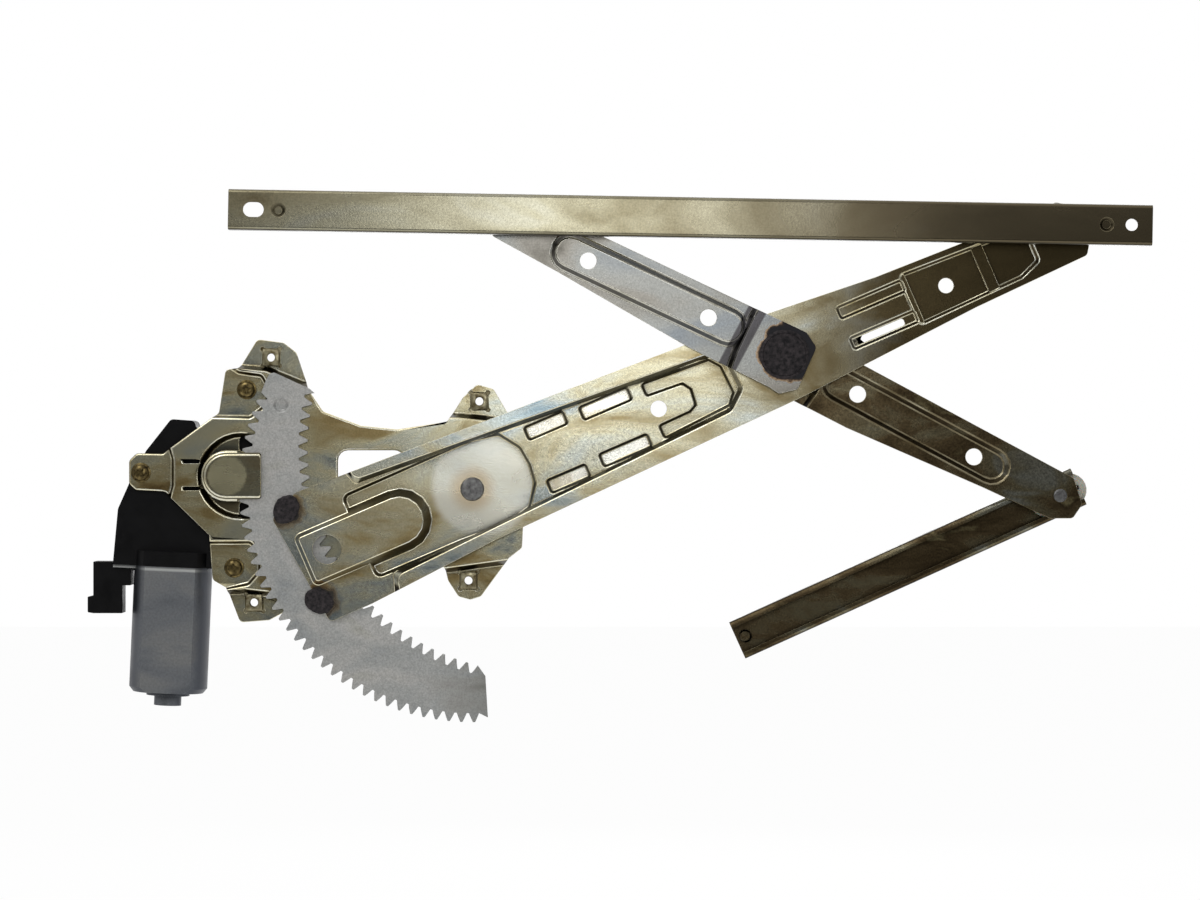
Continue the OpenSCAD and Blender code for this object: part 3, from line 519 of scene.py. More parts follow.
class Finish(Enum):
    """The finishes of the regulator, each named for its material and process."""

    # Yellow passivated zinc: silver ground with straw, blue and brown films, with a painted shade and a
    # painted highlight on the dome over the pinion
    PLATE = PlatedSteel("chromated zinc plate", ("#8b979a", "#b3b4a4", "#b9b292", "#93825a", "#685636"),
                        "#2a2314", "#1f1a0f", patch=30, turn=10,
                        painted_light_discs=(PaintedLightDisc(-138.9, 7.8, 22, 26, "#55544a", 0.7),
                                  PaintedLightDisc(-146.6, 7.9, 10.5, 12.5, "#b8b292", 0.85)))
    # The same film on the arm, browner towards its far end with painted shade darkening it there, and a
    # painted highlight round its pivot
    ARM = PlatedSteel("chromated zinc arm", ("#8698a0", "#b4b9b2", "#beb99e", "#a09068", "#746342"),
                      "#221d12", "#1c170e", patch=40, turn=-24, shade="#514731", shade_span=(135.0, 245.0),
                      scorches=(Scorch(-111.5, -12.3, 8.5, 14), Scorch(-91.5, -67.2, 8.5, 15)),
                      painted_light_discs=(PaintedLightDisc(6, 2, 27, 33, "#e4e4d9", 0.75), PaintedLightDisc(0, 0, 7, 17, "#b79a6a", 0.55),
                                PaintedLightDisc(0, 0, 4, 8, "#dcdccf", 0.8)))
    # Painted highlight on the floors of small pans, almost mirror bright
    PAD_HIGHLIGHT = PlatedSteel("painted highlight zinc", ("#d5d6cd", "#efeee6", "#f3f0e4", "#d8cfb6"), "#8c8468",
                      "#5a5038", patch=16, rough=(0.16, 0.28))
    # Worn edges show the bright zinc under the film, and the bright radii also paint the highlight along the
    # folds
    EDGE = PlatedSteel("worn zinc edge with painted highlight", ("#dcddd4", "#dfdac0", "#c2b488"), "#a89d78", "#6a5d3c",
                       patch=12, rough=(0.16, 0.3))
    EDGE_DARK = PlatedSteel("worn brown edge", ("#a39c84", "#857b62", "#5d5138"), "#453b28", "#2a2318",
                            patch=14, rough=(0.24, 0.38))
    # Fine blanked sector steel, grey with dark crystals and a scuffed end
    SECTOR = PlatedSteel("blanked sector steel", ("#a2a5a6", "#adaeac", "#b6b5b2", "#a9a8a0"), "#6a6a68",
                         "#4a4842", patch=22, grain=0.9, grain_depth=0.2, rough=(0.4, 0.55),
                         shade="#84847f", shade_span=(-30.0, 25.0), metallic=0.75)
    # Clear passivated zinc, pale silver
    PALE = PlatedSteel("clear zinc", ("#63676a", "#7b7c79", "#84817a", "#65625a"), "#242220", "#1c1a18",
                       patch=42, turn=26, scorches=HUB_SCORCHES, bands=HUB_BANDS)
    # Its worn edges with a painted highlight, burnt where the arm is
    EDGE_PALE = PlatedSteel("worn pale edge with painted highlight", ("#c4c5c2", "#cbc8bb", "#a5a294"), "#8a877a", "#5a564a",
                            patch=12, rough=(0.16, 0.3), scorches=HUB_SCORCHES, bands=HUB_BANDS)
    # Rail steel with a dull olive film, darker and browner to the right as painted shade
    RAIL = PlatedSteel("dull zinc rail", ("#aaaa9f", "#a29e88", "#8f886f", "#736a52"), "#3a3527", "#2a261c",
                       patch=60, shade="#655c49", shade_span=(95.0, 260.0), rough=(0.2, 0.34))
    # Old zinc, stained brown and black
    AGED = PlatedSteel("stained zinc", ("#8c8d84", "#6f6852", "#574b36", "#3e3424", "#837a5a"), "#211c14",
                       "#16120d", patch=26, turn=27, grain_depth=0.35, rough=(0.18, 0.38))
    # Headed and turned steel, bare, plated or burnt by the arc
    NUT = BareMetal("plated nut steel", "#b5ae90", "#5c4f34", stain=3)
    PIN = BareMetal("headed pin steel", "#8b8b8a", "#5b5a5a", stain=3, rough=(0.34, 0.5))
    SCREW = BareMetal("yellow zinc screw", "#84744c", "#2e2618", stain=2.4, rough=(0.25, 0.42))
    SCORCHED = BareMetal("scorched weld steel", "#3a3436", "#0d0c0f", stain=2.2, mark=0.9, rough=(0.5, 0.75),
                         metallic=0.5)
    # Drawn steel of the motor can, with a painted highlight along its top edge
    CAN = PlatedSteel("drawn can steel", ("#6d7177", "#7a7d81", "#828383", "#6f7276"), "#3c3f46", "#33363b",
                      patch=30, grain=1.4, grain_depth=0.12, rough=(0.34, 0.52), metallic=0.8,
                      bands=(Band(-181.5, -48.2, 267.5, -0.4, 1.3, "#c4c6c4"),))
    # Plastics, and the materials inside the motor and the gearbox
    BLACK = MouldedPlastic("black glass-filled polyamide", "#030304", "#1c1c1e", dusty=0.1, shine=0.16)
    NYLON = MouldedPlastic("natural nylon", "#bdbbb0", "#8c877a", dusty=0.5, glow=1.2, rough=(0.3, 0.45))
    BRONZE = BareMetal("sintered bronze", "#b07a45", "#7a4e28", stain=1.5)
    BRASS = BareMetal("contact brass", "#c9a85c", "#8f7438", stain=2.5, rough=(0.22, 0.36))
    COPPER = BareMetal("enamelled copper winding", "#b06436", "#6c3418", stain=1.2, rough=(0.25, 0.4))
    FERRITE = BareMetal("pressed ferrite", "#3c3c40", "#26262a", stain=1.5, metallic=0.1, rough=(0.55, 0.7))
    CARBON = BareMetal("pressed carbon brush", "#3a3836", "#201f1e", stain=1.0, metallic=0.0,
                       rough=(0.5, 0.7))
    RUBBER = MouldedPlastic("black damper rubber", "#1c1c1c", "#3f3d3a", rough=(0.6, 0.8))


@cache
def material_of(finish: Finish) -> bpy.types.Material:
    """Returns the finish's material, made at its first use."""
    return finish.value.material()


def dress(piece: Piece, *finishes: Finish) -> None:
    """Puts the finishes on the piece's slots in order."""
    piece.data.materials.clear()
    for finish in finishes:
        piece.data.materials.append(material_of(finish))


def only(piece: Piece) -> None:
    """Deselects everything and makes the piece the one selected and active."""
    bpy.ops.object.select_all(action="DESELECT")
    piece.select_set(True)
    bpy.context.view_layer.objects.active = piece


@contextmanager
def editing(piece: Piece) -> Iterator[None]:
    """Opens a piece in edit mode with its whole mesh selected, and closes it after the work."""
    only(piece)
    bpy.ops.object.mode_set(mode="EDIT")
    bpy.ops.mesh.select_all(action="SELECT")
    yield
    bpy.ops.object.mode_set(mode="OBJECT")


def link_new(name: str, data: bpy.types.ID) -> Piece:
    """Makes an object of its data and puts it in the scene."""
    made = bpy.data.objects.new(name, data)
    bpy.context.scene.collection.objects.link(made)
    return made


def apply_modifiers(piece: Piece) -> None:
    """Applies the piece's modifiers from the first to the last."""
    only(piece)
    for modifier in list(piece.modifiers):
        bpy.ops.object.modifier_apply(modifier=modifier.name)


def seat_object(piece: Piece) -> None:
    """Puts the piece's place into its mesh, so its object sits at the origin."""
    only(piece)
    bpy.ops.object.transform_apply(location=True, rotation=True, scale=True)


def smooth(piece: Piece, degrees: float) -> None:
    """Shades the piece smooth up to an angle."""
    only(piece)
    bpy.ops.object.shade_smooth_by_angle(angle=math.radians(degrees))


def even_normals(piece: Piece) -> None:
    """Lets the large flat faces set the shading, so that they look flat up to their radii."""
    weighing = piece.modifiers.new("even_normals", "WEIGHTED_NORMAL")
    weighing.keep_sharp = True
    apply_modifiers(piece)


def bevel(piece: Piece, width: float, segments: int = 2, degrees: float = 32,
          material: int = -1, weighed: bool = False) -> None:
    """Rounds the piece's sharp edges.

    Args:
        piece: what is rounded.
        width: the radius in millimetres.
        segments: faces across the radius.
        degrees: edges sharper than this are rounded.
        material: slot that the new faces take, or -1 for their neighbours'.
        weighed: round by the edges' weights and not by their angle, and let radii meet.
    """
    rounding = piece.modifiers.new("edge_radius", "BEVEL")
    rounding.width = width * MM
    rounding.segments = segments
    rounding.limit_method = "WEIGHT" if weighed else "ANGLE"
    rounding.angle_limit = math.radians(degrees)
    rounding.material = material
    rounding.use_clamp_overlap = not weighed
    rounding.miter_outer = "MITER_ARC" if weighed else "MITER_SHARP"
    apply_modifiers(piece)


def inside(x: float, z: float, boxes: tuple[Box, ...]) -> bool:
    """Says whether a point lies in one of the boxes (low x, high x, low z, high z)."""
    return any(a < x < b and c < z < d for a, b, c, d in boxes)


def divide_flats(piece: Piece, line: Cut) -> None:
    """Divides the faces round an opening along a line across it, and marks the line as a seam.

    Args:
        piece: the piece, in edit mode.
        line: a point (x, z) of it in millimetres, its degrees, and how far from the point the
            nearest corner of a face may lie.
    """
    x, z, degrees, reach = line
    bpy.ops.mesh.select_all(action="DESELECT")
    bpy.ops.object.mode_set(mode="OBJECT")
    near = {corner.index for corner in piece.data.vertices
            if math.hypot(corner.co.x / MM - x, corner.co.z / MM - z) < reach}
    for face in piece.data.polygons:
        face.select = not near.isdisjoint(face.vertices)
    bpy.ops.object.mode_set(mode="EDIT")
    lean = math.radians(degrees)
    bpy.ops.mesh.bisect(plane_co=(x * MM, 0, z * MM), plane_no=(-math.sin(lean), 0, math.cos(lean)))
    bpy.ops.mesh.mark_seam()


def join_flats() -> None:
    """Joins the flat faces of the mesh in edit mode, except across seams."""
    bpy.ops.mesh.dissolve_limited(angle_limit=math.radians(1.0), delimit={"SEAM"})


def copy_of_node(node: str, name: str, step: float = 0.0, cuts: tuple[Cut, ...] = ()) -> Piece:
    """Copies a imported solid's mesh into a new piece, merged and with its flat faces joined.

    Args:
        node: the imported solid.
        name: the new piece's name.
        step: corners nearer than this are merged too, in millimetres, or nought for none.
        cuts: lines across openings, where the flats stay divided so that no face runs round one.

    Returns:
        The new piece, at the origin.
    """
    piece = link_new(name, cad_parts[node].data.copy())
    with editing(piece):
        bpy.ops.mesh.remove_doubles(threshold=SAME_CORNER)
        for line in cuts:
            divide_flats(piece, line)
        bpy.ops.mesh.select_all(action="SELECT")
        join_flats()
        if step:
            bpy.ops.mesh.remove_doubles(threshold=step * MM)
            join_flats()
    return piece


def pull_strays(piece: Piece, node: str, reach: float = 0.9) -> None:
    """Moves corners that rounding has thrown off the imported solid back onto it.

    Args:
        piece: the rounded piece.
        node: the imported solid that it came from.
        reach: how far a corner may stand off, in millimetres.
    """
    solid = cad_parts[node]
    strays = 0
    for corner in piece.data.vertices:
        found, place, _, _ = solid.closest_point_on_mesh(corner.co)
        if found and (place - corner.co).length > reach * MM:
            corner.co = place
            strays += 1
    log.info("%s had %d stray corners", piece.name, strays)


def lathe(name: str, profile: list[Point], steps: int = 40) -> Piece:
    """Turns a profile round the y axis.

    Args:
        name: the piece's name.
        profile: (radius, w) points in millimetres, from the back to the front.
        steps: faces round the axis.

    Returns:
        The turned piece.
    """
    radius, w = profile[0]
    bpy.ops.mesh.primitive_plane_add(size=2 * MM, location=(radius * MM, -w * MM, 0))
    piece = bpy.context.object
    piece.name = name
    seat_object(piece)
    with editing(piece):
        bpy.ops.mesh.merge(type="CENTER")
        for (r0, w0), (r1, w1) in zip(profile, profile[1:]):
            bpy.ops.mesh.extrude_vertices_move(
                TRANSFORM_OT_translate={"value": ((r1 - r0) * MM, -(w1 - w0) * MM, 0)})
        bpy.ops.mesh.select_all(action="SELECT")
        bpy.ops.mesh.spin(steps=steps, angle=math.tau, center=(0, 0, 0), axis=(0, 1, 0))
        bpy.ops.mesh.select_all(action="SELECT")
        bpy.ops.mesh.remove_doubles(threshold=SAME_CORNER)
        bpy.ops.mesh.normals_make_consistent(inside=False)
    return piece


def block(name: str, w: float, size: tuple[float, float, float], turn: float = 0) -> Piece:
    """Adds a box on the y axis.

    Args:
        name: the piece's name.
        w: its centre's w.
        size: lengths along x, w and z in millimetres.
        turn: angle in the x and z plane, in degrees, anticlockwise to the viewer.

    Returns:
        The box, at the origin.
    """
    bpy.ops.mesh.primitive_cube_add(size=1, location=(0, -w * MM, 0), rotation=(0, -math.radians(turn), 0),
                                    scale=(size[0] * MM, size[1] * MM, size[2] * MM))
    piece = bpy.context.object
    piece.name = name
    seat_object(piece)
    return piece


def cut(piece: Piece, cutter: Piece) -> None:
    """Takes the cutter's space out of the piece and removes the cutter."""
    taking = piece.modifiers.new("recess", "BOOLEAN")
    taking.operation = "DIFFERENCE"
    taking.solver = "EXACT"
    taking.object = cutter
    apply_modifiers(piece)
    bpy.data.objects.remove(cutter)


def join(pieces: list[Piece], name: str) -> Piece:
    """Joins pieces into one and names it."""
    bpy.ops.object.select_all(action="DESELECT")
    for piece in pieces:
        piece.select_set(True)
    bpy.context.view_layer.objects.active = pieces[0]
    bpy.ops.object.join()
    joined = bpy.context.object
    joined.name = name
    return joined


def moved_copy(piece: Piece, x: float, z: float, turn: float) -> Piece:
    """Copies a piece modelled on the y axis, with its own mesh, and turns and moves it.

    Args:
        piece: the first of the kind.
        x: the copy's x.
        z: the copy's z.
        turn: how far it turns in degrees.

    Returns:
        The copy, at the origin.
    """
    twin = link_new(piece.name + "_copy", piece.data.copy())
    twin.rotation_euler = (0, -math.radians(turn), 0)
    twin.location = (x * MM, 0, z * MM)
    bpy.context.view_layer.update()
    seat_object(twin)
    return twin


def set_out(piece: Piece, name: str, places: tuple[Point, ...],
            turns: tuple[float, ...]) -> Piece:
    """Puts a copy of a fastener at each place, with its turn, and removes the first.

    Args:
        piece: the fastener, modelled on the y axis and dressed.
        name: the joined copies' name.
        places: their x and z in millimetres.
        turns: their turns in degrees.

    Returns:
        All the copies as one piece.
    """
    copies = [moved_copy(piece, x, z, turn) for (x, z), turn in zip(places, turns)]
    bpy.data.objects.remove(piece)
    fasteners = join(copies, name)
    smooth(fasteners, FASTENER_SMOOTH)
    return fasteners


def settle(piece: Piece, body: str, slot: str, *nodes: str) -> None:
    """Lets a piece ride on its body and hides the solids that it stands for."""
    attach(piece, body)
    if nodes:
        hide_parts(*nodes)
    log.info("%s rides on %s with %d faces", piece.name, body, len(piece.data.polygons))


@dataclass(frozen=True)
class RoundedSolid:
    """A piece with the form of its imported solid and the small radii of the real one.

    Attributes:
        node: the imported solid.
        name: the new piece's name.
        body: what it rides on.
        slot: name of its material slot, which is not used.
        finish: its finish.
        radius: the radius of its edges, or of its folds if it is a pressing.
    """

    node: str
    name: str
    body: str
    slot: str
    finish: Finish
    radius: float

    def build(self) -> None:
        """Copies, dresses and rounds the piece."""
        piece = copy_of_node(self.node, self.name)
        dress(piece, self.finish)
        bevel(piece, self.radius, ROUND_STEPS, SOLID_EDGE)
        self.shade(piece, SOLID_SMOOTH)

    def shade(self, piece: Piece, degrees: float) -> None:
        """Shades the piece smooth up to an angle, and lets it ride on its body."""
        smooth(piece, degrees)
        even_normals(piece)
        settle(piece, self.body, self.slot, self.node)


@dataclass(frozen=True)
class Pressing(RoundedSolid):
    """A pressed sheet piece, with the radii of its press tool.

    Attributes:
        edge: the finish of its worn radii, which on the plate, arm and upper equalizer also paints their
            highlight.
        walls: share of the radius that the edges of sloping walls get, or nought to round all alike.
        sheared: share of it for the edges and bores that the punch has cut square.
        folds: boxes in which square edges are folds with the full radius.
        keen: boxes in which an acute corner stays as it is.
        pads: centres (x, z) of small pans whose floors get a painted highlight.
        cuts: lines (x, z, degrees, reach) across openings, where the flats stay divided.
    """

    edge: Finish
    walls: float = 1.0
    sheared: float = 0.4
    folds: tuple[Box, ...] = ()
    keen: tuple[Box, ...] = ()
    pads: tuple[Point, ...] = ()
    cuts: tuple[Cut, ...] = ()

    def build(self) -> None:
        """Copies, dresses and rounds the pressing, and paints highlights on its pan floors."""
        piece = copy_of_node(self.node, self.name, TINY_STEP if self.walls else 0.0, self.cuts)
        dress(piece, self.finish, self.edge)
        for face in piece.data.polygons:
            face.material_index = FILM_SLOT
        if self.walls:
            self.weigh(piece)
        bevel(piece, self.radius, ROUND_STEPS, SHEET_EDGE, EDGE_SLOT, bool(self.walls))
        pull_strays(piece, self.node)
        if self.pads:
            piece.data.materials.append(material_of(Finish.PAD_HIGHLIGHT))
            self.paint_pad_highlights(piece)
        self.shade(piece, SHEET_SMOOTH)

    def weigh(self, piece: Piece) -> None:
        """Weighs the edges: the folds' radius is full, and the others are shares of it.

        Edges between two facets of one wall, or of two flats, keep a weight of nought.
        """
        mesh = piece.data
        sides: dict[int, list[float]] = {}
        for face in mesh.polygons:
            for loop in face.loop_indices:
                sides.setdefault(mesh.loops[loop].edge_index, []).append(abs(face.normal.y))
        weights = mesh.attributes.new("bevel_weight_edge", "FLOAT", "EDGE")
        for edge, slopes in sides.items():
            if len(slopes) != 2 or not min(slopes) <= FLAT <= max(slopes):
                continue
            first, last = (mesh.vertices[i].co for i in mesh.edges[edge].vertices)
            x, z = (first.x + last.x) / 2 / MM, (first.z + last.z) / 2 / MM
            if inside(x, z, self.keen):
                continue
            punched = min(slopes) < PUNCHED
            folded = punched and inside(x, z, self.folds)
            weights.data[edge].value = 1.0 if folded else self.sheared if punched else self.walls

    def paint_pad_highlights(self, piece: Piece) -> None:
        """Paints a highlight on the floors of the small pans that face the viewer, with a near-white finish.
        """
        for face in piece.data.polygons:
            x, z = face.center.x / MM, face.center.z / MM
            near = any(math.hypot(x - u, z - v) < PAD_REACH for u, v in self.pads)
            if near and face.normal.y < -FLAT and PAD_AREA[0] < face.area / MM ** 2 < PAD_AREA[1]:
                face.material_index = PAD_HIGHLIGHT_SLOT


@dataclass
class Pressings:
    """All pressed sheet pieces of the regulator."""

    pieces: list[Pressing] = field(default_factory=lambda: [
        Pressing("base_plate", "base_plate_pressing", "door_side", "zinc_plate", Finish.PLATE, 1.2,
                 Finish.EDGE, 0.6, 0.3,
                 folds=((-95, -16, 28, 75), (-83, -35, -30, 25), (-210, -172, -30, 30),
                        (-172, -142, 24, 44), (-176, -150, -40, -18)),
                 keen=((-160, -144, -66, -55),),
                 cuts=((-168.6, 16.5, 0, 6), (-168.6, 0.3, 0, 6), (-122.0, 79.6, 0, 10),
                       (-39.2, 0.8, 90, 25))),
        Pressing("main_arm", "main_arm_pressing", "lift_arm", "zinc_plate", Finish.ARM, 0.42,
                 Finish.EDGE, pads=((44.1, 38.0), (79.7, 51.2), (57.7, 6.3), (91.8, 23.2)),
                 cuts=((245.9, 95.0, 23.3, 18), (245.9, 95.0, 113.3, 11))),
        Pressing("sector_gear", "sector_gear_blank", "lift_arm", "sector_steel", Finish.SECTOR, 0.25,
                 Finish.SECTOR, 0.0),
        Pressing("equalizer_upper", "equalizer_upper_pressing", "equalizer", "pale_zinc", Finish.PALE, 0.7,
                 Finish.EDGE_PALE),
        Pressing("equalizer_lower", "equalizer_lower_pressing", "equalizer", "aged_zinc", Finish.AGED, 0.7,
                 Finish.EDGE_DARK),
        Pressing("glass_rail", "glass_rail_section", "window_rail", "dull_zinc", Finish.RAIL, 0.8,
                 Finish.EDGE_DARK, 0.0),
        Pressing("lower_rail", "lower_rail_section", "guide_rail", "aged_zinc", Finish.AGED, 0.5,
                 Finish.EDGE_DARK, 0.0),
    ])

    def build(self) -> None:
        """Builds every pressing."""
        for piece in self.pieces:
            piece.build()


@dataclass
class MotorScrews:
    """The three yellow zinc screws of the gearbox: flanged domed heads with a cross recess.

    Attributes:
        places: their x and z.
        turns: how far each is turned, in degrees.
        seat: w of the face that the flanges lie on.
        flange_r: the flange's radius.
        dome_r: the dome's radius.
        head: height of the head over the seat.
        shank_r: the shank's radius.
        shank: the shank's length.
        recess: length, depth and width of the cross recess.
    """

    places: tuple[Point, ...] = ((-135.7, 59.7), (-199.3, 9.8), (-143.3, -47.4))
    turns: tuple[float, ...] = (20.0, 50.0, 5.0)
    seat: float = -3.0
    flange_r: float = 6.0
    dome_r: float = 4.6
    head: float = 3.0
    shank_r: float = 2.4
    shank: float = 12.0
    recess: tuple[float, float, float] = (5.2, 1.6, 1.15)

    def build(self) -> None:
        """Turns one screw, cuts its recess and sets a copy at each place."""
        seat, top, tip = self.seat, self.seat + self.head, self.seat - self.shank
        profile = [(0.0, tip), (self.shank_r - 0.5, tip), (self.shank_r, tip + 0.6), (self.shank_r, seat),
                   (self.flange_r - 0.2, seat), (self.flange_r, seat + 0.25),
                   (self.flange_r - 0.15, seat + 0.7), (self.dome_r + 0.25, seat + 0.95),
                   (self.dome_r, seat + 1.3), (self.dome_r - 0.3, top - 0.9), (self.dome_r - 1.3, top - 0.25),
                   (self.dome_r - 2.8, top), (0.0, top)]
        screw = lathe("motor_screw", profile)
        length, depth, width = self.recess
        for angle in (0, 90):
            cut(screw, block("recess_arm", top, (length, depth * 2, width), angle))
        dress(screw, Finish.SCREW)
        screws = set_out(screw, "motor_screw_set", self.places, self.turns)
        settle(screws, "door_side", "screw_zinc", "motor_screws")


@dataclass
class PanelNuts:
    """The four square nuts in the plate's ears: a tapped bore and a thin round flange at the back.

    Attributes:
        places: their x and z.
        side: width of the square.
        flange_r: the flange's radius.
        flange: the flange's thickness.
        core_r: the bore's radius at the crests of its thread.
        thread_r: the bore's radius at the roots of its thread.
        pitch: the thread's pitch.
    """

    places: tuple[Point, ...] = ((-121.4, 79.0), (3.9, 52.7), (-2.6, -55.1), (-131.5, -68.3))
    side: float = 9.8
    flange_r: float = 8.8
    flange: float = 0.7
    core_r: float = 2.45
    thread_r: float = 2.95
    pitch: float = 1.0

    def build(self) -> None:
        """Shapes one nut, cuts its thread and sets a copy at each place."""
        low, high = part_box("weld_nuts")
        front = -low.y / MM
        back = -high.y / MM
        nut = block("panel_nut", (front + back) / 2, (self.side, front - back, self.side))
        bevel(nut, 0.6, 2)
        turns = math.ceil((front - back) / self.pitch) + 1
        thread = [(0.0, back - 0.5), (self.core_r, back - 0.5)]
        for i in range(turns):
            crest = back - 0.4 + i * self.pitch
            thread += [(self.core_r, crest), (self.thread_r, crest + self.pitch / 2)]
        thread += [(self.thread_r + 0.3, front + 0.6), (0.0, front + 0.6)]
        cut(nut, lathe("tap", thread, 28))
        rim = [(self.core_r + 0.2, back), (self.flange_r - 0.2, back), (self.flange_r, back + 0.2),
               (self.flange_r, back + self.flange), (self.core_r + 0.2, back + self.flange),
               (self.core_r + 0.2, back)]
        nut = join([nut, lathe("nut_flange", rim)], "panel_nut")
        dress(nut, Finish.NUT)
        nuts = set_out(nut, "panel_nut_set", self.places, (0.0,) * len(self.places))
        settle(nuts, "door_side", "pale_zinc", "weld_nuts")


@dataclass
class Welds:
    """The two plug welds of the sector, burnt and wrinkled by the arc.

    Attributes:
        spots: their x and z.
        spot_r: their radius before stretching.
        stretch: how much longer than wide they are.
        leans: direction of their length, in degrees.
    """

    spots: tuple[Point, ...] = ((-111.3, -12.2), (-91.6, -67.0))
    spot_r: float = 7.4
    stretch: float = 1.22
    leans: Point = (62.0, -20.0)

    def wrinkle(self, piece: Piece, size: float, height: float) -> None:
        """Pushes a piece's skin in and out.

        Args:
            piece: the weld.
            size: size of the wrinkles in millimetres.
            height: height of the wrinkles in millimetres.
        """
        clouds = bpy.data.textures.new(piece.name + "_wrinkles", "CLOUDS")
        clouds.noise_scale = size * MM
        clouds.noise_depth = 3
        pushing = piece.modifiers.new("wrinkles", "DISPLACE")
        pushing.texture = clouds
        pushing.strength = height * MM
        pushing.mid_level = 0.5
        apply_modifiers(piece)
        bpy.data.textures.remove(clouds)

    def build(self) -> None:
        """Turns each weld, stretches, sets and wrinkles it, and joins the two."""
        low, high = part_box("sector_welds")
        front = -low.y / MM
        back = -high.y / MM
        r = self.spot_r
        spots = []
        for i, (x, z) in enumerate(self.spots):
            spot = lathe(f"plug_weld_{i}", [
                (0.0, back), (r * 0.8, back), (r, back + 0.3), (r, front - 1.0), (r * 0.92, front - 0.45),
                (r * 0.75, front - 0.3), (r * 0.55, front - 0.5), (r * 0.3, front - 0.65),
                (0.0, front - 0.55)], 44)
            spot.scale = (self.stretch, 1, 1)
            spot.rotation_euler = (0, -math.radians(self.leans[i]), 0)
            spot.location = (x * MM, 0, z * MM)
            seat_object(spot)
            with editing(spot):
                bpy.ops.mesh.subdivide(number_cuts=1)
            self.wrinkle(spot, 5.0, 1.3)
            self.wrinkle(spot, 1.8, 0.5)
            spots.append(spot)
        welds = join(spots, "plug_weld_pair")
        dress(welds, Finish.SCORCHED)
        smooth(welds, WELD_SMOOTH)
        settle(welds, "lift_arm", "scorched_steel", "sector_welds")


@dataclass
class RoundedSolids:
    """All the pieces that only need their small radii."""

    pieces: list[RoundedSolid] = field(default_factory=lambda: [RoundedSolid(*row) for row in (
        ("gearbox_housing", "gearbox_housing_moulding", "door_side", "black_plastic", Finish.BLACK, 0.7),
        ("gearbox_cover", "gearbox_cover_moulding", "door_side", "black_plastic", Finish.BLACK, 0.6),
        ("connector", "connector_moulding", "door_side", "black_plastic", Finish.BLACK, 0.5),
        ("motor_can", "motor_can_drawing", "door_side", "can_steel", Finish.CAN, 1.2),
        ("pivot_rivet", "pivot_rivet_headed", "door_side", "pin_steel", Finish.PIN, 0.5),
        ("hub_cap", "hub_cap_scorched", "equalizer", "scorched_steel", Finish.SCORCHED, 0.6),
        ("hub_weld", "hub_weld_bead", "equalizer", "scorched_steel", Finish.SCORCHED, 0.3),
        ("rail_slider_right", "right_slider_moulding", "slider_right", "nylon", Finish.NYLON, 0.5),
        ("rail_slider_left", "left_slider_moulding", "slider_left", "nylon", Finish.NYLON, 0.5),
        ("lower_slider", "lower_slider_moulding", "slider_low", "nylon", Finish.NYLON, 0.5),
        ("lower_pin", "lower_pin_headed", "equalizer", "pin_steel", Finish.PIN, 0.4),
    )])

    def build(self) -> None:
        """Builds every piece."""
        for piece in self.pieces:
            piece.build()


@dataclass
class InnerPieces:
    """Pieces whose packed form is right, and which only get their material."""

    finishes: tuple[tuple[str, Finish], ...] = (
        ("pivot_washer", Finish.PIN), ("output_bush", Finish.BRONZE), ("connector_blades", Finish.BRASS),
        ("can_bearing", Finish.BRONZE), ("magnets", Finish.FERRITE), ("brush_holder", Finish.BLACK),
        ("brushes", Finish.CARBON), ("can_screws", Finish.PIN), ("armature_shaft", Finish.PIN),
        ("armature_core", Finish.COPPER), ("commutator", Finish.COPPER), ("worm_wheel", Finish.NYLON),
        ("drive_damper", Finish.RUBBER), ("pinion", Finish.PIN), ("rail_pin_right", Finish.PIN),
        ("cross_hub", Finish.PIN), ("rail_pin_left", Finish.PIN),
    )

    def build(self) -> None:
        """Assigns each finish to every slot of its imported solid."""
        for node, finish in self.finishes:
            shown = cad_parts[node]
            if not shown.material_slots:
                shown.data.materials.append(material_of(finish))
            for place in shown.material_slots:
                place.material = material_of(finish)
            log.info("%s has its own form and the finish %s", node, finish.value.name)


@dataclass(frozen=True)
class Lamp:
    """A square lamp that points at the object and isn't seen itself.

    Attributes:
        name: its name.
        place: where it hangs, in metres.
        size: its side in metres.
        power: its power in watts.
    """

    name: str
    place: tuple[float, float, float]
    size: float
    power: float

    def hang(self, centre: Point) -> None:
        """Hangs the lamp and aims it at a point (x, z) in millimetres."""
        light = bpy.data.lights.new(self.name, "AREA")
        light.size = self.size
        light.energy = self.power
        holder = link_new(self.name, light)
        holder.location = self.place
        holder.visible_camera = False
        aim = Vector((centre[0] * MM, 0, centre[1] * MM)) - holder.location
        holder.rotation_euler = aim.to_track_quat("-Z", "Y").to_euler()


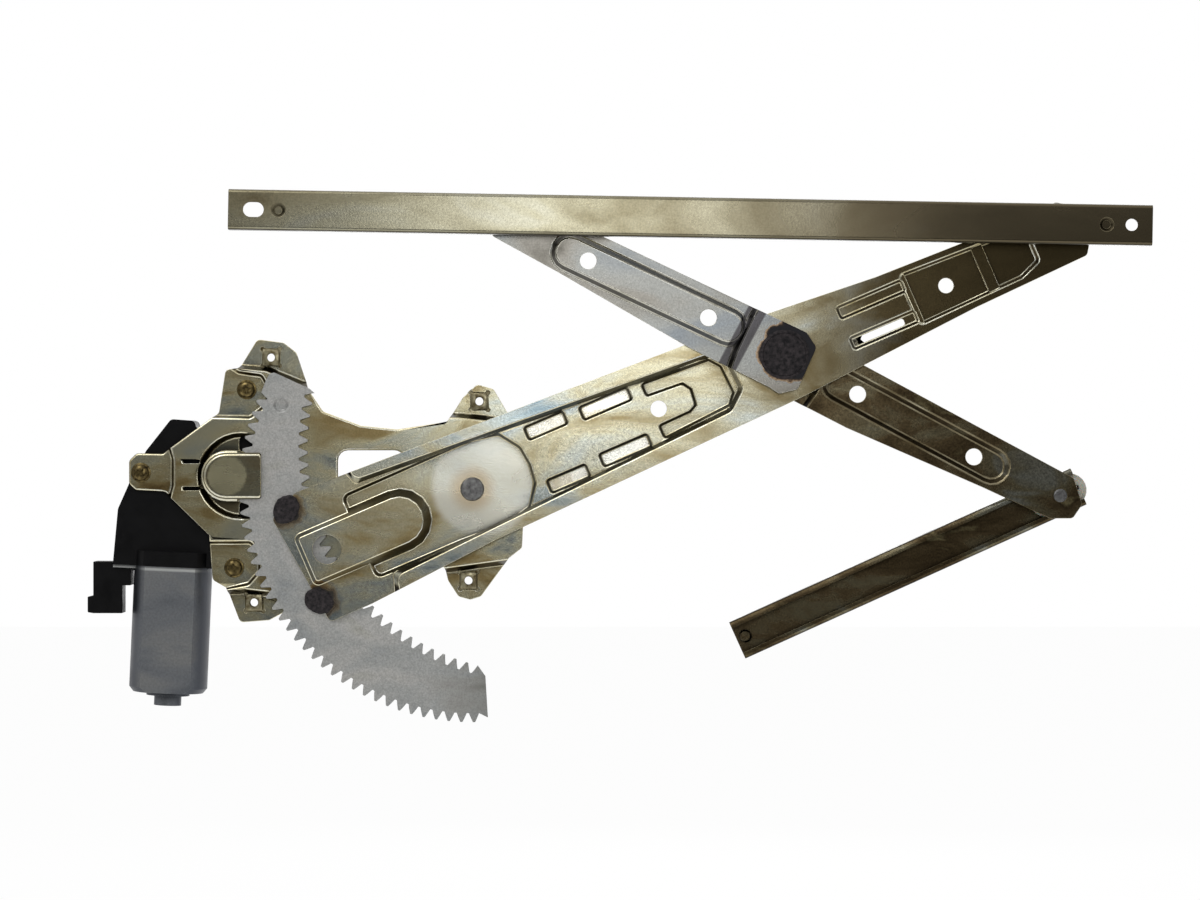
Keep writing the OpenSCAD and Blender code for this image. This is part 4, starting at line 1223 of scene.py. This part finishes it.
@dataclass
class Studio:
    """Pale floor, soft lamps, white surroundings and the camera of the photograph.

    Attributes:
        centre: what the camera looks at, in x and z.
        distance: how far the camera stands off.
        view_width: width of the picture at the plate.
        sensor: width of the camera's sensor.
        floor: height of the floor, below the lowest place that the arms reach.
        floor_size: side of the square floor.
        floor_back: y of the floor's middle, mostly behind the object.
        floor_white: how much of its paint is pure white to the camera and in reflections.
    """

    centre: Point = (76.5, 23.4)
    distance: float = 2200.0
    view_width: float = 720.0
    sensor: float = 36.0
    floor: float = -420.0
    floor_size: float = 8000.0
    floor_back: float = 3000.0
    floor_white: float = 0.95

    def build(self) -> None:
        """Builds the floor, the world, the lamps and the camera."""
        self.build_floor()
        self.build_world()
        for lamp in (Lamp("front_lamp", (0.09, -1.0, 0.2), 0.34, 0.95),
                     Lamp("key_lamp", (-0.8, -1.3, 1.5), 1.0, 9.0),
                     Lamp("top_lamp", (0.1, 0.5, 1.7), 1.2, 6.0),
                     Lamp("back_lamp", (0.3, 1.9, 0.5), 1.2, 8.0)):
            lamp.hang(self.centre)
        self.build_camera()

    def build_floor(self) -> None:
        """Lays the floor, nearly white to the camera and in reflections, and pale to everything else."""
        bpy.ops.mesh.primitive_plane_add(size=self.floor_size * MM,
                                         location=(0, self.floor_back * MM, self.floor * MM))
        floor = bpy.context.object
        floor.name = "studio_floor"
        material, tree = new_material("matt white floor paint")
        camera, mirrored = seen_rays(tree)
        share = calc(tree, "MULTIPLY", calc(tree, "MAXIMUM", camera, mirrored), self.floor_white)
        paint = add(tree, "BsdfDiffuse", {"Color": srgb("#e6e6e4")})
        white = add(tree, "Emission", {"Color": (1, 1, 1, 1), "Strength": 1.0})
        finish_material(tree, add(tree, "MixShader", {
            0: share, 1: paint.outputs[0], 2: white.outputs[0]}))
        floor.data.materials.append(material)

    def build_world(self) -> None:
        """Puts a white backdrop behind the object and a dimmer room round the camera."""
        world = bpy.data.worlds.new("pale room")
        bpy.context.scene.world = world
        world.use_nodes = True
        tree = world.node_tree
        tree.nodes.clear()
        place = add(tree, "TexCoord").outputs["Generated"]
        axes = add(tree, "SeparateXYZ", {0: place})
        raised = remap(tree, axes.outputs["Z"], (-1.0, 1.0))
        room = add(tree, "ValToRGB", {"Fac": raised}, stops=[
            (0.0, "#5c5c5a", 1.0), (0.42, "#8c8c8a", 1.0), (0.56, "#a6a6a5", 1.0), (0.8, "#f2f2f2", 1.0)])
        camera, mirrored = seen_rays(tree)
        behind = remap(tree, axes.outputs["Y"], (-0.15, 0.2))
        shown = calc(tree, "MAXIMUM", camera, calc(tree, "MULTIPLY", mirrored, behind))
        front = remap(tree, axes.outputs["Y"], (-1.0, -0.55), (0.6, 0.95))
        light = add(tree, "Background", {
            "Color": blend(tree, shown, room.outputs["Color"], "#ffffff"),
            "Strength": remap(tree, shown, (0.0, 1.0), (front, 1.0))})
        output = add(tree, "OutputWorld")
        tree.links.new(light.outputs[0], output.inputs["Surface"])

    def build_camera(self) -> None:
        """Stands the camera square in front of the plate."""
        data = bpy.data.cameras.new("photo_camera")
        data.sensor_width = self.sensor
        data.lens = self.sensor * self.distance / self.view_width
        data.clip_end = 50
        camera = link_new("photo_camera", data)
        camera.location = (self.centre[0] * MM, -self.distance * MM, self.centre[1] * MM)
        camera.rotation_euler = (math.radians(90), 0, 0)
        bpy.context.scene.camera = camera
        bpy.context.scene.view_settings.view_transform = "Standard"


def main() -> None:
    """Builds the studio and every dressed piece."""
    logging.basicConfig(level=logging.INFO, format="%(name)s: %(message)s")
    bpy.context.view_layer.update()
    for builder in (Studio(), Pressings(), MotorScrews(), PanelNuts(), Welds(), RoundedSolids(),
                    InnerPieces()):
        builder.build()
        log.info("%s done", type(builder).__name__)


if __name__ == "__main__":
    main()
